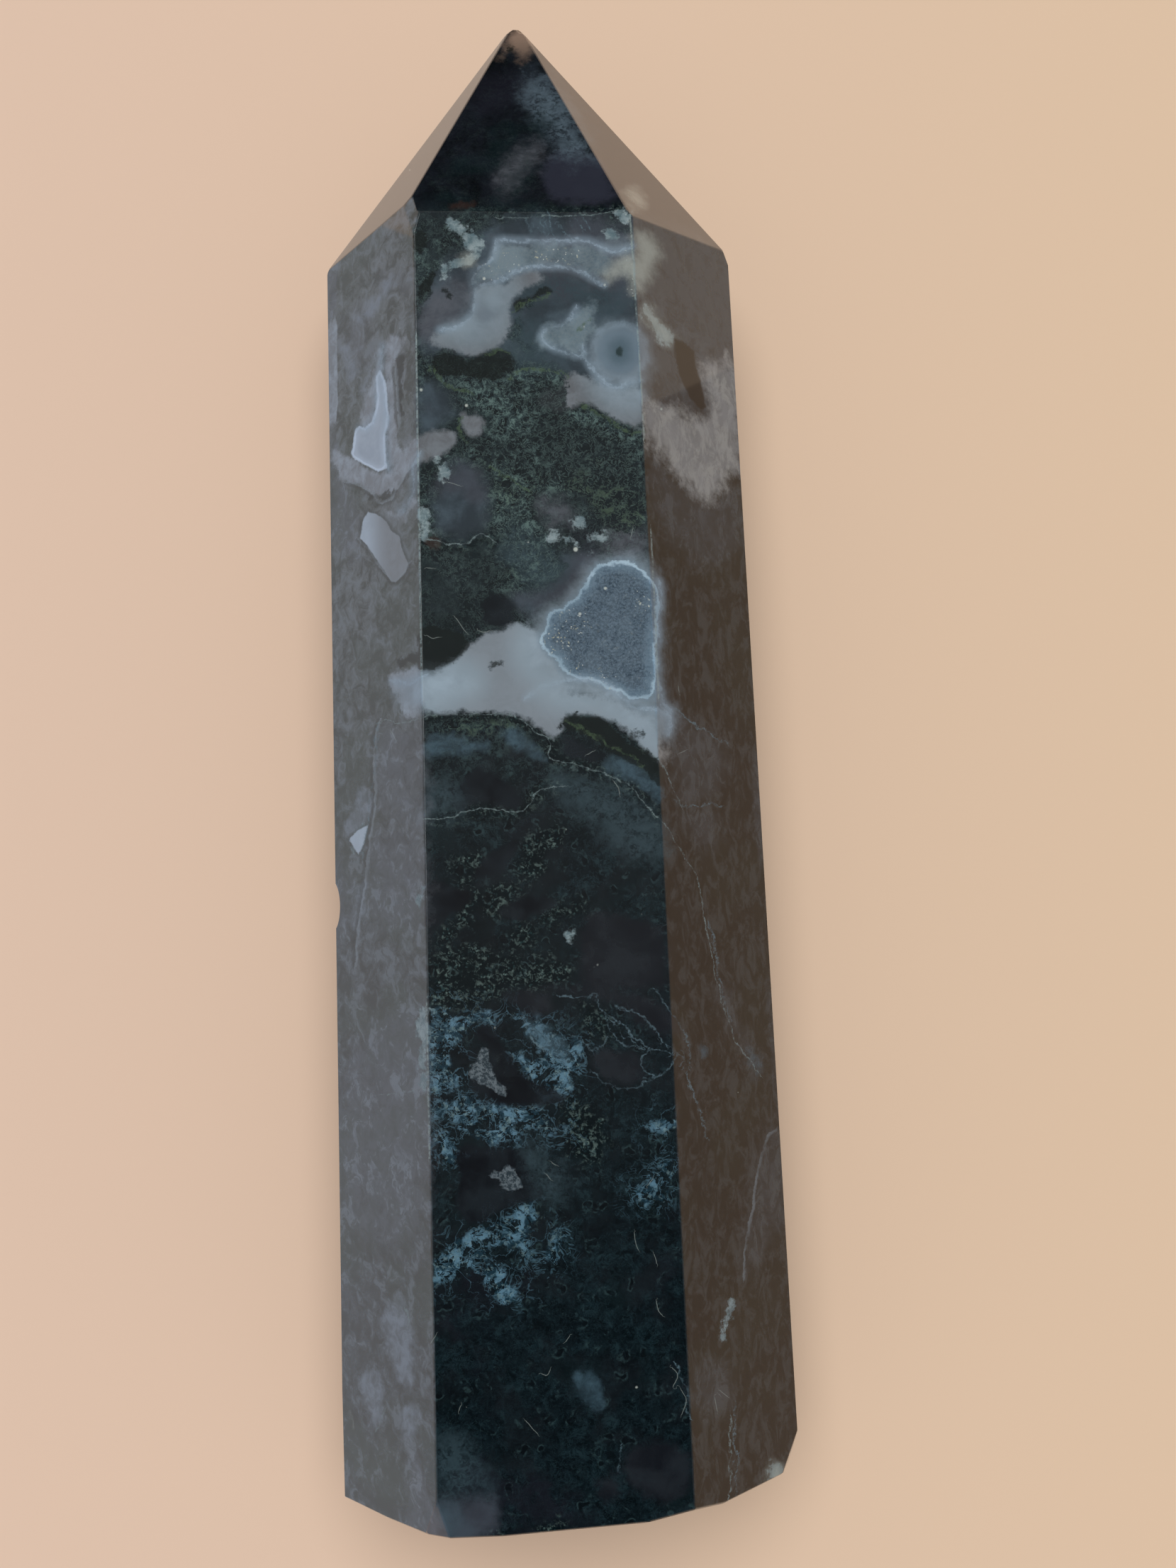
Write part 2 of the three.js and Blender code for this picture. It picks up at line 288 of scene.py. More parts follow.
# The markings are drawn as outlines and threads, by layer. A marking's name comes before the picture
# pixels round it or along it, each as its distance across and down.
OUTLINES = {
    "slate": """
    oval 640,655 655,650 674,660 688,684 688,740 672,754 650,762 630,758 616,748 610,720 612,690 624,668
    foot_corner 604,2154 617,2111 650,2113 684,2111 701,2120 703,2160 650,2180 600,2180
    teal_left 588,545 620,535 640,560 640,580 625,600 600,612 588,610
    beside_pocket 770,800 800,775 850,775 840,800 815,835 790,852 750,875 716,838 745,840 780,820
    upper 588,420 620,372 668,340 700,304 892,303 897,420 910,560 850,566 800,530 770,512 735,505 700,495
      650,505 588,500
    """,
    "dusk": """
    smooth_low 820,1292 860,1285 900,1300 940,1304 943,1390 900,1395 850,1400 825,1395 815,1350
    web_strip 700,1400 770,1395 780,1420 760,1435 735,1425
    tip 768,214 838,210 868,266 860,290 768,284
    above_webs 760,1395 800,1390 900,1400 950,1420 960,1470 900,1440 860,1410 800,1402
    between_webs 830,1480 905,1485 905,1530 860,1525 835,1505
    foot 887,2040 950,2030 974,2060 974,2110 920,2118 880,2090
    foot_right 841,2090 858,2082 875,2095 868,2116 846,2112
    """,
    "indigo": """
    under_arc 794,1032 814,1044 846,1064 862,1066 846,1076 814,1072 790,1064
    over_arc_two 638,1116 670,1084 686,1088 710,1100 730,1116 742,1136 730,1144 710,1140 678,1132 650,1143
      636,1146
    navy 598,1235 640,1255 668,1262 655,1280 625,1300 598,1330
    wedge_a 668,1245 672,1225 700,1195 737,1180 727,1215 700,1235
    wedge_b 700,1290 725,1268 760,1262 795,1272 760,1288 735,1302
    hollow 650,1612 680,1618 735,1618 745,1640 752,1665 775,1690 740,1695 705,1712 670,1730 650,1715
      640,1690 652,1660 642,1640
    grain_bed 668,1440 700,1450 715,1490 760,1530 810,1552 760,1562 700,1556 660,1535 672,1500 690,1480
      672,1465
    disc 703,836 720,843 728,861 720,880 703,887 686,880 678,861 686,843
    """,
    "cloud": """
    tip_a 752,116 778,120 796,148 812,180 830,212 808,220 790,206 782,176 762,162 746,140
    moss_teal 718,745 745,760 780,790 800,800 780,826 750,822 735,800 715,780
    wedge 722,470 728,448 750,450 765,465 768,490 790,512 770,516 735,512 722,495
    below_arc 780,1095 850,1110 900,1130 935,1180 940,1215 880,1205 840,1150 800,1130
    foot_a 617,2031 651,2031 684,2090 646,2111 617,2090
    teal_streak 746,1616 752,1621 773,1653 785,1686 781,1688 764,1678 752,1658 744,1633
    teal_left 598,1112 638,1104 640,1148 598,1154
    foot_flake 651,2065 663,2069 687,2090 680,2101 659,2082
    under_fortress 735,400 800,392 850,400 885,420 890,450 860,455 820,430 780,415 740,420
    clump 783,1648 795,1655 797,1668 785,1676 772,1670 770,1656
    """,
    "haze": """
    crescent 671,402 705,402 731,385 757,383 768,391 750,406 731,412 718,428 724,451 722,466 712,481 693,493
      668,506 640,495 618,489 603,481 621,465 648,462 661,451 671,428
    under_eye 803,527 822,527 841,545 880,548 906,552 910,602 895,604 882,598 841,574 822,566 807,581
      791,584 765,573 757,561 769,553 791,545
    pocket_a 650,590 664,582 678,584 684,598 680,616 664,620 653,606
    pocket_b 570,625 602,612 640,604 645,618 636,632 612,648 588,654 570,660
    below_block 660,912 700,888 742,880 762,900 780,930 800,960 805,1000 786,1040 770,1036 740,1010 680,1003
      600,1008 590,960 630,942
    lobe 780,1000 800,975 860,985 905,1010 934,1025 936,1085 905,1052 860,1012 800,1008
    left_wave 466,633 480,640 513,656 535,670 551,665 570,630 590,620 592,648 577,664 564,684 556,697
      530,700 508,684 490,681 479,674 473,656
    left_pink 545,474 572,473 568,492 558,512 557,535 562,610 560,625 570,638 564,650 550,663 546,640
      548,540 543,500
    left_glow 596,938 563,949 548,956 550,964 566,985 566,1010 596,1012
    right_band 906,560 925,570 945,572 972,586 990,592 1003,580 998,560 992,536 984,515 1004,512 1044,520
      1044,599 1050,662 1034,668 1022,692 1004,704 992,709 977,696 955,673 921,628 908,610
    shard_a_left 537,490 540,520 531,590 522,603 506,604 511,580 517,553 533,505
    hook 540,722 560,728 575,716 586,703 578,722 575,736 567,736 552,726
    """,
    "milky": """
    crescent 626,464 650,458 668,440 674,415 690,405 714,400 716,418 708,440 700,460 684,472 655,474
    eye 842,470 868,456 900,462 914,480 916,510 908,540 896,548 866,546 844,530 834,500
    under_eye 846,522 860,545 890,550 908,545 908,566 884,568 860,560 845,540
    pocket_rim 846,790 870,793 898,787 918,804 930,828 930,856 927,960 936,1000 880,1002 838,972 800,966
      780,960 745,935 742,905 758,887 769,860 800,850 816,824 832,804
    left_glow 556,968 575,958 598,945 640,945 660,954 664,966 640,976 610,992 590,1000 572,996
    lobe 765,965 800,955 838,957 868,970 890,990 934,1000 950,1000 944,1040 925,1045 900,1020 870,1000
      830,985 790,985
    blue_patch 840,346 862,342 888,344 888,360 858,358
    """,
    "shard": """
    shard_a 536,524 542,538 547,583 542,621 545,659 534,664 515,655 496,642 502,608 507,602 515,605 526,596
      531,576 533,557 531,532
    """,
    "quartz": """
    fortress 680,396 668,404 666,392 692,368 702,342 740,344 785,348 826,344 840,356 866,366 860,384 838,390
      815,376 770,372 735,378 705,392
    by_eye 761,477 769,462 791,460 807,449 814,434 825,428 842,429 840,443 838,462 826,474 822,489 825,504
      807,500 791,489 769,489
    """,
    "pocket": """
    drusy 851,795 893,794 908,808 921,822 927,838 926,866 922,950 920,984 900,982 884,984 868,970 838,958
      798,950 788,930 772,918 763,904 773,884 776,868 796,860 816,845 828,824 838,808
    """,
    "eye": """
    round 842,476 856,462 876,457 894,462 907,478 910,498 904,518 890,531 872,534 854,528 841,512 838,494
    """,
    "glint": """
    pocket_left 796,862 830,856 836,880 815,905 800,940 786,935 764,906 776,872
    pocket_low 800,935 840,940 880,965 880,982 850,965 800,950
    pocket_right 896,830 925,835 925,862 898,866
    fortress 668,384 700,360 760,352 820,352 820,372 760,374 720,390 680,402
    shoulder_edge 880,330 896,335 898,420 886,410
    """,
    "web": """
    left_a 600,1422 640,1420 662,1430 692,1428 712,1440 700,1448 668,1442 652,1452 656,1475 640,1478
      634,1500 647,1512 640,1535 620,1550 600,1548
    middle_a 720,1424 740,1430 762,1436 774,1450 797,1462 815,1470 826,1490 816,1510 806,1540 780,1552
      758,1540 736,1525 716,1500 724,1484 745,1488 758,1496 756,1475 740,1460 726,1440
    left_b 600,1556 630,1552 665,1545 690,1560 735,1560 760,1558 768,1580 790,1590 812,1600 780,1604
      757,1592 740,1586 730,1605 737,1616 715,1613 690,1616 670,1606 658,1592 643,1592 633,1577 600,1584
    left_c 600,1588 626,1598 642,1620 660,1632 640,1641 620,1630 600,1614
    diagonal 600,1818 604,1800 640,1750 662,1738 690,1722 712,1706 735,1697 760,1697 759,1717 744,1730
      747,1750 753,1772 774,1776 770,1750 783,1733 797,1755 782,1783 748,1782 733,1762 700,1760 690,1776
      668,1791 640,1802
    right_a 960,1630 951,1650 936,1665 942,1690 920,1699 897,1691 893,1675 914,1667 930,1647
    right_b 914,1589 930,1578 946,1581 958,1568 957,1586 942,1597 936,1604 920,1597
    over_edge 604,1412 592,1425 584,1450 590,1480 582,1500 590,1530 604,1565
    low_left 680,1790 712,1785 720,1812 740,1830 715,1838 690,1825
    """,
    "speckle": """
    a 735,1195 765,1163 792,1158 792,1182 776,1206 766,1234 740,1240 723,1232
    b 636,1213 668,1203 684,1215 670,1237 655,1252 638,1242
    c 664,1262 700,1248 722,1238 735,1255 724,1277 700,1292 676,1288 640,1318 618,1335 612,1322 640,1292
    d 716,1305 747,1298 756,1320 746,1338 722,1338
    e 752,1292 785,1273 822,1272 836,1290 800,1292 770,1300
    f 604,1350 650,1330 720,1345 775,1350 802,1365 805,1386 760,1398 720,1392 700,1412 665,1428 604,1420
    g 790,1558 832,1552 858,1590 852,1642 812,1646 795,1600
    h 712,1706 738,1698 760,1700 757,1716 738,1732 718,1722
    i 690,1486 704,1484 760,1528 820,1552 760,1560 712,1530
    j 820,1410 850,1420 862,1450 850,1470 822,1450
    """,
    "lively": """
    upper 640,545 690,540 735,528 800,530 800,575 818,572 860,597 905,615 912,660 912,745 870,750 840,735
      830,700 790,690 745,700 760,745 800,790 790,825 740,820 700,800 690,760 700,700 690,660 650,640
      650,620 690,610 690,580 660,575
    under_arc 597,1014 675,1010 730,1014 752,1033 772,1042 776,1060 758,1058 735,1035 700,1030 655,1040
      600,1040
    triangle 789,1015 845,1010 875,1042 925,1068 938,1100 880,1070 810,1030
    below_arc 780,1078 860,1098 900,1115 940,1180 900,1160 830,1110
    leaf 742,420 764,420 748,430 737,446 736,470 752,500 742,502 728,482 716,482 722,466 724,450 730,438
    left_of_leaf 604,530 616,496 632,492 664,508 700,538 690,560 660,555 620,534
    teal 705,790 740,785 785,790 792,800 770,822 735,828 712,815
    left_edge 588,400 596,375 614,366 618,376 594,450 588,450
    """,
    "flake": """
    a 629,315 644,309 655,323 671,330 682,345 671,357 655,349 652,334 637,330
    c 618,393 629,376 644,368 667,357 680,353 686,360 667,370 652,372 637,381 625,395
    d 610,645 621,648 628,658 637,664 633,677 625,683 621,664 612,657
    e 590,716 601,709 608,728 606,755 592,763
    f 810,732 818,727 826,730 830,738 826,746 817,749 810,744
    g 827,757 841,751 846,743 858,757 856,766 841,759 829,761
    h 774,758 780,745 795,738 799,740 786,751 780,762
    i 791,762 800,756 814,762 841,781 833,782 810,774
    j 845,326 862,321 874,332 862,337
    k 792,1315 804,1309 810,1301 812,1313 804,1325 796,1327
    corner 868,299 884,294 893,310 884,320 874,307
    right_edge 902,442 915,427 921,442 932,457 949,472 949,479 936,487 927,479 923,464 914,449
    foot_bruise 1088,2061 1099,2066 1106,2080 1092,2092 1080,2092 1084,2075
    shard_d 508,1162 518,1160 513,1184 505,1202 494,1187
    left_edge 588,1272 592,1258 599,1246 600,1262 594,1278
    drop_rim 1031,1829 1034,1839 1029,1863 1024,1891 1016,1891 1019,1878 1026,1854
    web_edge 596,1420 606,1412 606,1470 598,1500 602,1540 592,1520 594,1470 588,1440
    """,
    "cream": """
    shoulder 893,326 914,332 927,345 929,363 917,390 902,412 893,408 886,390 872,388 858,398 852,392 866,372
      884,362 898,368 895,350
    tip_right 884,270 898,268 908,284 904,294 890,288
    flake_end 652,362 664,360 669,370 658,375
    right_edge 905,440 915,430 922,445 934,458 948,474 944,484 934,482 918,456
    foot_bruise 1090,2064 1101,2068 1107,2082 1094,2092 1083,2089
    """,
    # Among the dark marks, the one just right of shard A on the left face is painted shadow that the shard
    # casts in the stone.
    "dark": """
    moss_leaf 608,522 618,500 640,502 663,506 693,494 712,494 722,506 723,519 712,530 693,536 655,532
      625,534
    fleck 688,935 694,928 700,934 708,936 703,941 697,945 691,942
    wedge_left 584,430 592,402 606,385 619,381 612,401 598,416 590,434
    clump 752,410 765,406 776,408 774,413 761,421 746,425 739,430 731,443 725,451 723,440 725,424 742,421
      752,415
    triangle 788,1016 805,1009 845,1009 863,1025 876,1042 900,1053 926,1068 940,1092 934,1112 914,1092
      880,1071 845,1049 808,1030
    drips 590,880 640,888 662,905 655,922 641,932 624,940 600,948 590,942
    shoulder_left 583,318 599,325 602,344 592,358 584,350
    tip_speck 717,60 723,62 725,76 718,80 714,70
    over_glow 560,937 572,926 590,916 612,918 600,932 580,936 566,944
    left_crack 497,688 520,698 545,700 560,690 548,706 520,706 500,698
    left_step 562,494 572,512 566,530 570,570 563,590 560,545 558,515
    dot 624,410 634,406 641,412 639,421 629,422
    curl 886,1026 894,1028 909,1026 910,1034 908,1042 890,1046 882,1047 881,1041 890,1040 903,1037 904,1033
      893,1034 885,1031
    """,
    "brown": """
    shard 951,476 978,494 980,510 988,539 997,576 989,582 971,558 958,530 953,500
    """,
    "faint": """
    shard_d 509,1107 526,1121 524,1148 518,1164 491,1182 482,1165 497,1147
    shard_f 535,1861 543,1851 556,1832 564,1822 574,1843 585,1900 582,1931 592,1952 569,1955 561,1944
      546,1905 540,1879
    shard_g 512,1936 533,1931 540,1952 543,1983 533,2020 522,2004 509,1962
    shard_h 566,1988 577,1981 592,1986 592,2009 579,2040 569,2030 564,2004
    crack_end 1052,1484 1062,1478 1074,1512 1066,1516
    lens_a 598,1038 614,1036 650,1038 670,1046 690,1048 686,1060 666,1062 650,1068 634,1060 614,1070
      598,1072
    lens_b 704,1034 722,1028 738,1032 750,1044 766,1064 776,1074 750,1070 714,1046
    strip 862,1066 902,1076 934,1104 934,1134 910,1116 886,1100 862,1088 848,1074
    foot_patch 811,1942 820,1934 836,1938 849,1959 853,1987 836,1985 820,1976
    low_chip 500,1253 515,1238 516,1290 500,1323
    spot 990,1474 993,1472 995,1486 990,1488
    web_sheet 739,1433 749,1446 770,1442 774,1454 799,1467 807,1496 791,1500 762,1475 745,1471
    wisp_a 498,446 512,432 530,420 545,400 556,396 548,416 530,436 514,450 504,462
    wisp_b 476,492 490,482 500,500 508,520 500,540 492,520 484,508
    wisp_c 508,548 516,530 524,520 520,540 512,566
    """,
    "mist": """
    right_top 880,300 1040,360 1042,520 1020,514 1003,509 984,460 955,434 917,408 900,410 892,330
    beside_brown 905,430 925,450 946,478 946,524 950,556 940,580 908,576
    left_top 532,410 548,382 568,380 584,400 584,420 560,408 545,416
    shield 530,1026 560,1026 597,1016 600,1100 600,1170 565,1160 532,1150 528,1090
    left_pale 470,655 490,684 492,705 510,735 508,752 494,745 484,715 472,690
    right_low 1093,1592 1103,1640 1112,1690 1088,1745 1068,1775 1048,1804 1048,1765 1061,1701 1063,1671
      1071,1636 1083,1597
    right_pocket 967,1142 995,1139 1010,1160 1014,1185 1008,1196 995,1200 980,1180
    chip 462,1205 478,1212 492,1235 499,1270 496,1310 482,1340 466,1350
    left_of_crescent 592,440 600,420 625,400 650,392 664,393 671,410 668,430 655,455 640,463 615,465 603,480
      592,470
    fortress 703,337 742,340 780,342 829,340 843,352 868,364 888,372 870,400 850,404 814,381 761,378 731,384
      705,398 672,404 667,392 675,380 695,370 700,350
    mid 757,705 780,697 803,712 810,735 790,745 765,735
    over_pocket 850,752 884,742 912,752 914,784 880,788 852,782
    left_green 478,470 500,445 516,428 524,450 518,490 512,520 500,540 492,510
    shield_low 520,1180 560,1170 600,1180 602,1330 560,1300 530,1320 515,1260
    left_foot 480,1500 560,1420 604,1430 606,1700 560,1760 490,1740 476,1600
    right_streaks 916,630 940,655 977,700 1000,712 1022,690 1040,680 1050,740 1030,790 990,800 950,760
      920,720
    right_lobe 930,990 944,1004 954,1012 962,1050 955,1082 936,1060 928,1020
    right_mauve 953,1004 985,1025 1010,1040 1028,1080 1010,1120 985,1130 961,1135 950,1080
    crack_band 1011,1390 1026,1395 1034,1419 1043,1454 1058,1469 1075,1515 1066,1515 1051,1484 1036,1459
      1021,1424
    left_below 470,690 500,700 505,740 500,770 515,790 490,790 470,750
    right_foot 980,1925 1028,1920 1032,1990 985,2000
    tip 700,262 712,232 740,206 764,200 758,226 736,250 716,272
    """,
    "peach": """
    tip 704,84 722,38 744,38 756,72 742,82 732,88 727,78 720,70 712,80
    """,
    "crystal": """
    triangle 680,1475 689,1477 691,1496 699,1521 714,1544 695,1540 678,1531 662,1519 662,1504 674,1492
    star 690,1657 703,1652 709,1652 713,1639 725,1645 738,1678 719,1678 707,1674 699,1664
    """,
    "pane": """
    shard_c 512,733 519,721 536,727 547,737 553,749 564,757 567,774 576,795 572,808 558,822 551,820 540,803
      529,788 519,772 507,760
    shard_d 491,1184 506,1170 520,1163 514,1190 506,1206
    """,
    "tuft": """
    crest 612,528 640,536 680,536 720,522 745,514 775,518 798,530 790,540 750,534 715,538 690,546 650,546
      620,540
    band_a 650,545 690,548 720,560 745,575 752,600 740,615 715,610 690,590 665,575
    band_b 680,632 700,640 712,660 735,672 752,684 748,696 725,690 705,680 690,665
    band_c 700,690 722,694 740,706 735,720 715,722 700,712
    band_d 738,728 756,735 760,752 745,758 735,745
    band_e 712,775 745,770 785,790 792,812 770,822 745,815 722,800
    rim 800,575 830,582 860,597 905,615 905,630 860,612 825,598 800,590
    leaf 715,482 740,490 750,502 735,508 700,500
    arc 600,1016 640,1012 700,1016 745,1036 765,1052 750,1052 715,1034 660,1030 600,1034
    """,
    "rust": """
    tip 630,289 646,284 674,286 670,294 634,296
    block 599,762 612,756 623,764 618,776 604,775
    """,
    "shade": """
    upper 760,598 820,600 870,615 905,640 905,735 870,745 845,730 820,700 770,640 750,620
    block 592,770 640,772 690,775 706,800 700,860 690,900 640,905 592,900
    below_arc 640,1180 690,1190 660,1240 620,1250 600,1220
    dark_wedge 780,1150 830,1160 850,1200 810,1215 785,1190
    """,
}

THREADS = {
    "thread": """
    arc_one 534,1020 546,1015 565,1022 595,1012 626,1008 675,1008 708,1006 732,1012 752,1031 773,1039
      778,1056 772,1066 785,1072 822,1080 859,1096 891,1108 912,1137 936,1161 957,1194 967,1209 988,1246
      992,1292 1004,1338 1013,1393 1027,1443 1041,1475 1064,1503 1073,1517
    arc_two 599,1155 634,1155 650,1147 679,1139 708,1145 732,1145 748,1133 756,1120 769,1112 797,1109
    over_block 600,762 620,764 640,768 658,768 668,758 677,753 690,757 700,766
    triangle_edge 905,1055 918,1062 931,1073 943,1098 953,1120 961,1139
    shard_f 572,1843 579,1861 574,1874
    shard_g 530,2020 538,2004 543,1986
    shoulder 700,306 740,308 775,304 820,305 868,299
    left_scratch 538,1544 560,1542 583,1540
    """,
    "net": """
    a 838,1406 850,1425 862,1436 876,1440 886,1456 900,1468 915,1479 935,1483 955,1488
    b 853,1428 858,1450 872,1466 888,1476 906,1481
    c 915,1480 904,1493 908,1510 918,1522 935,1516 946,1502 954,1490
    d 872,1418 905,1432 930,1460 955,1484 972,1502
    e 925,1397 940,1415 956,1440 969,1466 972,1490 962,1502
    f 806,1462 826,1478 848,1480 858,1466
    g 836,1512 856,1530 880,1537 904,1532 918,1522
    h 790,1404 815,1406 838,1404
    i 738,1432 748,1458 766,1480
    corner 952,1925 960,1945 972,1965 966,1985 975,2000
    low 876,2074 877,2040
    right_a 1000,1300 1010,1340 1018,1400 1030,1440
    right_b 950,1128 961,1139 980,1134 998,1133 1017,1136
    right_d 953,1000 975,1020 1000,1034 1024,1049
    right_e 965,1500 975,1540 990,1570 1000,1610
    left_a 524,1110 530,1070 534,1022
    left_b 508,1210 520,1160 526,1120
    streak_a 742,308 750,328
    streak_b 761,308 769,330
    streak_c 773,300 782,341
    streak_d 791,315 803,332
    streak_e 810,311 822,326
    streak_f 822,308 833,322
    """,
    "fringe": """
    under_eye 816,566 830,576 846,586 870,601 895,612 908,611
    over_moss 720,532 745,520 762,518 790,523 802,531
    leaf 688,498 705,494 715,499
    middle 694,660 720,679 746,692
    left 608,520 624,534 640,548 664,556
    pocket_a 650,590 648,606 660,622
    upper 724,436 745,424 772,416
    triangle 792,1018 830,1032 870,1056 905,1078
    eye_dot 818,466 824,458 830,452
    """,
    "fibre": """
    a 632,680 648,685
    b 643,872 650,882 658,892
    c 676,890 683,893 690,890
    d 603,801 610,802
    e 603,897 610,901 618,899
    f 829,1064 836,1060
    g 866,1103 872,1110 874,1120
    h 895,1740 896,1752 900,1762
    i 923,1770 926,1782
    j 926,1836 928,1848 934,1855
    k 742,2004 750,2014 758,2022
    l 765,1938 772,1941 776,1933
    m 608,1895 615,1884
    n 914,1672 920,1664
    o 779,1640 784,1643
    p 771,1657 776,1664
    q 647,1990 650,1983
    r 798,1892 803,1885
    s 893,745 890,756
    t 957,968 958,976
    u 960,1062 966,1059
    v 1008,1972 1012,1990
    w 1016,1962 1026,1970
    x 552,1032 558,1044
    curl_a 948,1930 958,1940 950,1955
    curl_b 960,1960 970,1975 962,1995
    """,
    "rim": """
    crescent 620,465 648,462 661,451 671,428 671,410 664,393 671,379 693,370 701,349 701,337 742,339 780,341
      829,338 840,344 856,353 878,354 893,346
    inner 678,402 705,396 731,381 761,376 795,376 814,380 837,394 852,402
    by_eye 814,434 807,449 791,460 769,462 761,477 775,489 800,498 826,504
    under_eye 822,489 829,511 844,534 867,549 905,536
    lobe 742,985 765,968 802,957 838,959 865,970 885,992 910,1000 936,1004 946,1012 942,1034
    pocket_right 930,820 933,840 928,877 927,907 926,937 928,963 934,989 945,1003
    shard_a 540,488 536,520 532,560 529,588 519,604 506,605
    shard_a_core 539,535 541,559 546,585 544,617 547,640 549,662
    wave 565,722 580,706 585,680 582,660 592,640
    ray 552,960 575,966 600,952
    """,
    # Painted highlights: thin pale lines along the edges between the top face and the side faces.
    "edge": """
    left 587,470 588.5,600 590,700 592,800 594.5,960
    right 889,303 895,400 903,520 909,620
    right_low 918,745 924,860 929,985
    left_low 602,1410 603.5,1500 606,1640
    """,
    "crack": """
    wave 490,681 508,685 530,701 535,713 552,706 562,692 568,678 578,662 590,652
    shield 535,1016 528,1033 526,1070 528,1099 528,1129 524,1162 517,1217 508,1280 502,1323 500,1363
    shard_c 506,762 519,775 529,791 545,813 556,824 572,810 578,796
    shard_a 557,521 560,572 562,600
    right_low 1093,1592 1083,1597 1071,1636 1063,1671 1061,1701 1048,1765 1048,1804
    """,
}

# Single bright grains, chips and crystal points painted white as the sparkle of light on them: across,
# down and radius in pixels.
GLINTING_GRAINS = [
    (853, 402, 3.5), (884, 450, 2), (732, 374, 3), (728, 362, 2.5), (683, 393, 4), (709, 378, 2),
    (824, 461, 3), (905, 1290, 2.5), (698, 1450, 3), (887, 1273, 2), (564, 463, 2.5), (570, 1456, 2),
    (812, 775, 5), (745, 765, 3), (916, 845, 4), (903, 852, 3.5), (818, 866, 4), (786, 905, 3),
    (854, 830, 4), (843, 1361, 3), (838, 1364, 2.5), (594, 550, 4), (658, 572, 4), (658, 1985, 2),
    (898, 1957, 3.5), (886, 404, 2), (890, 398, 2), (882, 302, 3.5), (886, 312, 3), (933, 577, 3.5),
    (948, 1943, 2), (1041, 1541, 2.5), (1084, 1214, 2), (578, 240, 3), (888, 345, 2), (799, 1170, 2.5),
]

ANGULAR = ("shard", "pane", "brown", "crystal")  # layers whose outlines keep their corners
FAR = 60.0  # pixels from an outline or a thread to where its field ends
FADE = 6  # pixels that a marking loses with each millimetre under the upper faces
HIDDEN_FADE = 30  # the same for markings used again on the faces that no picture shows
OUT_OF_REACH = 180  # lost pixels from which on nothing of a marking is left
DETAIL_REACH = 4  # pixels beside a thread or a grain where the mesh is finer
SLIDE = -5  # millimetres that the lower faces' markings are slid along the stone
FOOT_CUT = -35  # where along the stone the lowest of the foot's markings are from, in millimetres
SIDEWAYS = 0.3  # how far sideways the normal of a side face points, at least


def shapes(text):
    """The points of each outline or thread that a layer's text names."""
    found = []
    for word in text.split():
        if "," in word:
            found[-1].append(tuple(float(number) for number in word.split(",")))
        else:
            found.append([])
    return found


def sides(line, closed):
    """The pairs of neighbouring points on a line."""
    return list(zip(line, line[1:] + line[:1] if closed else line[1:]))


def inside(places, outline):
    """Whether each place lies inside the outline."""
    found = np.zeros(len(places), bool)
    for (x0, y0), (x1, y1) in sides(outline, True):
        if y0 != y1:
            spans = (places[:, 1] < y0) != (places[:, 1] < y1)
            crossing = x0 + (places[:, 1] - y0) * (x1 - x0) / (y1 - y0)
            found ^= spans & (places[:, 0] < crossing)
    return found


def rounded(line, closed):
    """The line with its corners cut, so that it curves."""
    cut = []
    for (x0, y0), (x1, y1) in sides(line, closed):
        cut.append((x0 * 0.75 + x1 * 0.25, y0 * 0.75 + y1 * 0.25))
        cut.append((x0 * 0.25 + x1 * 0.75, y0 * 0.25 + y1 * 0.75))
    return cut if closed else [line[0], *cut, line[-1]]


def near(places, line):
    """Whether each place lies in the line's box, or less than FAR beside it."""
    low, high = np.min(line, axis=0) - FAR, np.max(line, axis=0) + FAR
    return np.all((places > low) & (places < high), axis=1)


def area_field(layer, places):
    """How far inside the layer's outlines each place is, in pixels; below zero outside."""
    field = np.full(len(places), -FAR)
    for outline in shapes(OUTLINES[layer]):
        if layer not in ANGULAR:
            outline = rounded(outline, True)
        close = near(places, outline)
        distance = distance_to_sides(places[close], sides(outline, True))
        distance = np.where(inside(places[close], outline), distance, -distance)
        field[close] = np.maximum(field[close], distance)
    return field


def side_of_line(places, line):
    """Each place's distance to the line, above zero to the right of its direction and below zero to the
    left."""
    nearest = np.full(len(places), np.inf)
    signed = np.full(len(places), FAR)
    for start, end in np.array(sides(line, False)):
        distance = distance_to_side(places, start, end)
        closer = distance < nearest
        along, offset = end - start, places[closer] - start
        turn = np.sign(along[0] * offset[:, 1] - along[1] * offset[:, 0])
        signed[closer] = distance[closer] * turn
        nearest[closer] = distance[closer]
    return signed


def line_field(layer, places):
    """Each place's signed distance to the nearest of the layer's threads, in pixels."""
    field = np.full(len(places), FAR)
    for line in shapes(THREADS[layer]):
        line = rounded(line, False)
        close = near(places, line)
        signed = side_of_line(places[close], line)
        field[close] = np.where(abs(signed) < abs(field[close]), signed, field[close])
    return field


def grain_field(places):
    """How far inside the nearest single grain each place is, in pixels; below zero outside."""
    field = np.full(len(places), -FAR)
    for across, down, radius in GLINTING_GRAINS:
        field = np.maximum(field, radius - np.linalg.norm(places - (across, down), axis=1))
    return field


def fine_detail(places):
    """Whether each place is so near a thread or a grain that the mesh has to be finer there."""
    close = grain_field(places) > -DETAIL_REACH
    for layer in THREADS:
        close |= abs(line_field(layer, places)) < DETAIL_REACH
    return close


def rolled_over(points):
    """The points of the stone rolled half a turn round its length and slid along a little, so that the
    lower faces, which no picture shows, have markings like those of the upper ones."""
    return points * (-1, 1, -1) + (0, SLIDE, solid_points[:, 2].max())


def stood_up(points):
    """The points of the stone with its foot turned up, for the markings the saw has cut through there."""
    highest, foot = solid_points[:, 2].max(), solid_points[:, 1].min()
    across, along, up = points.T
    return np.stack([across, up + FOOT_CUT, highest + foot - along], axis=1)


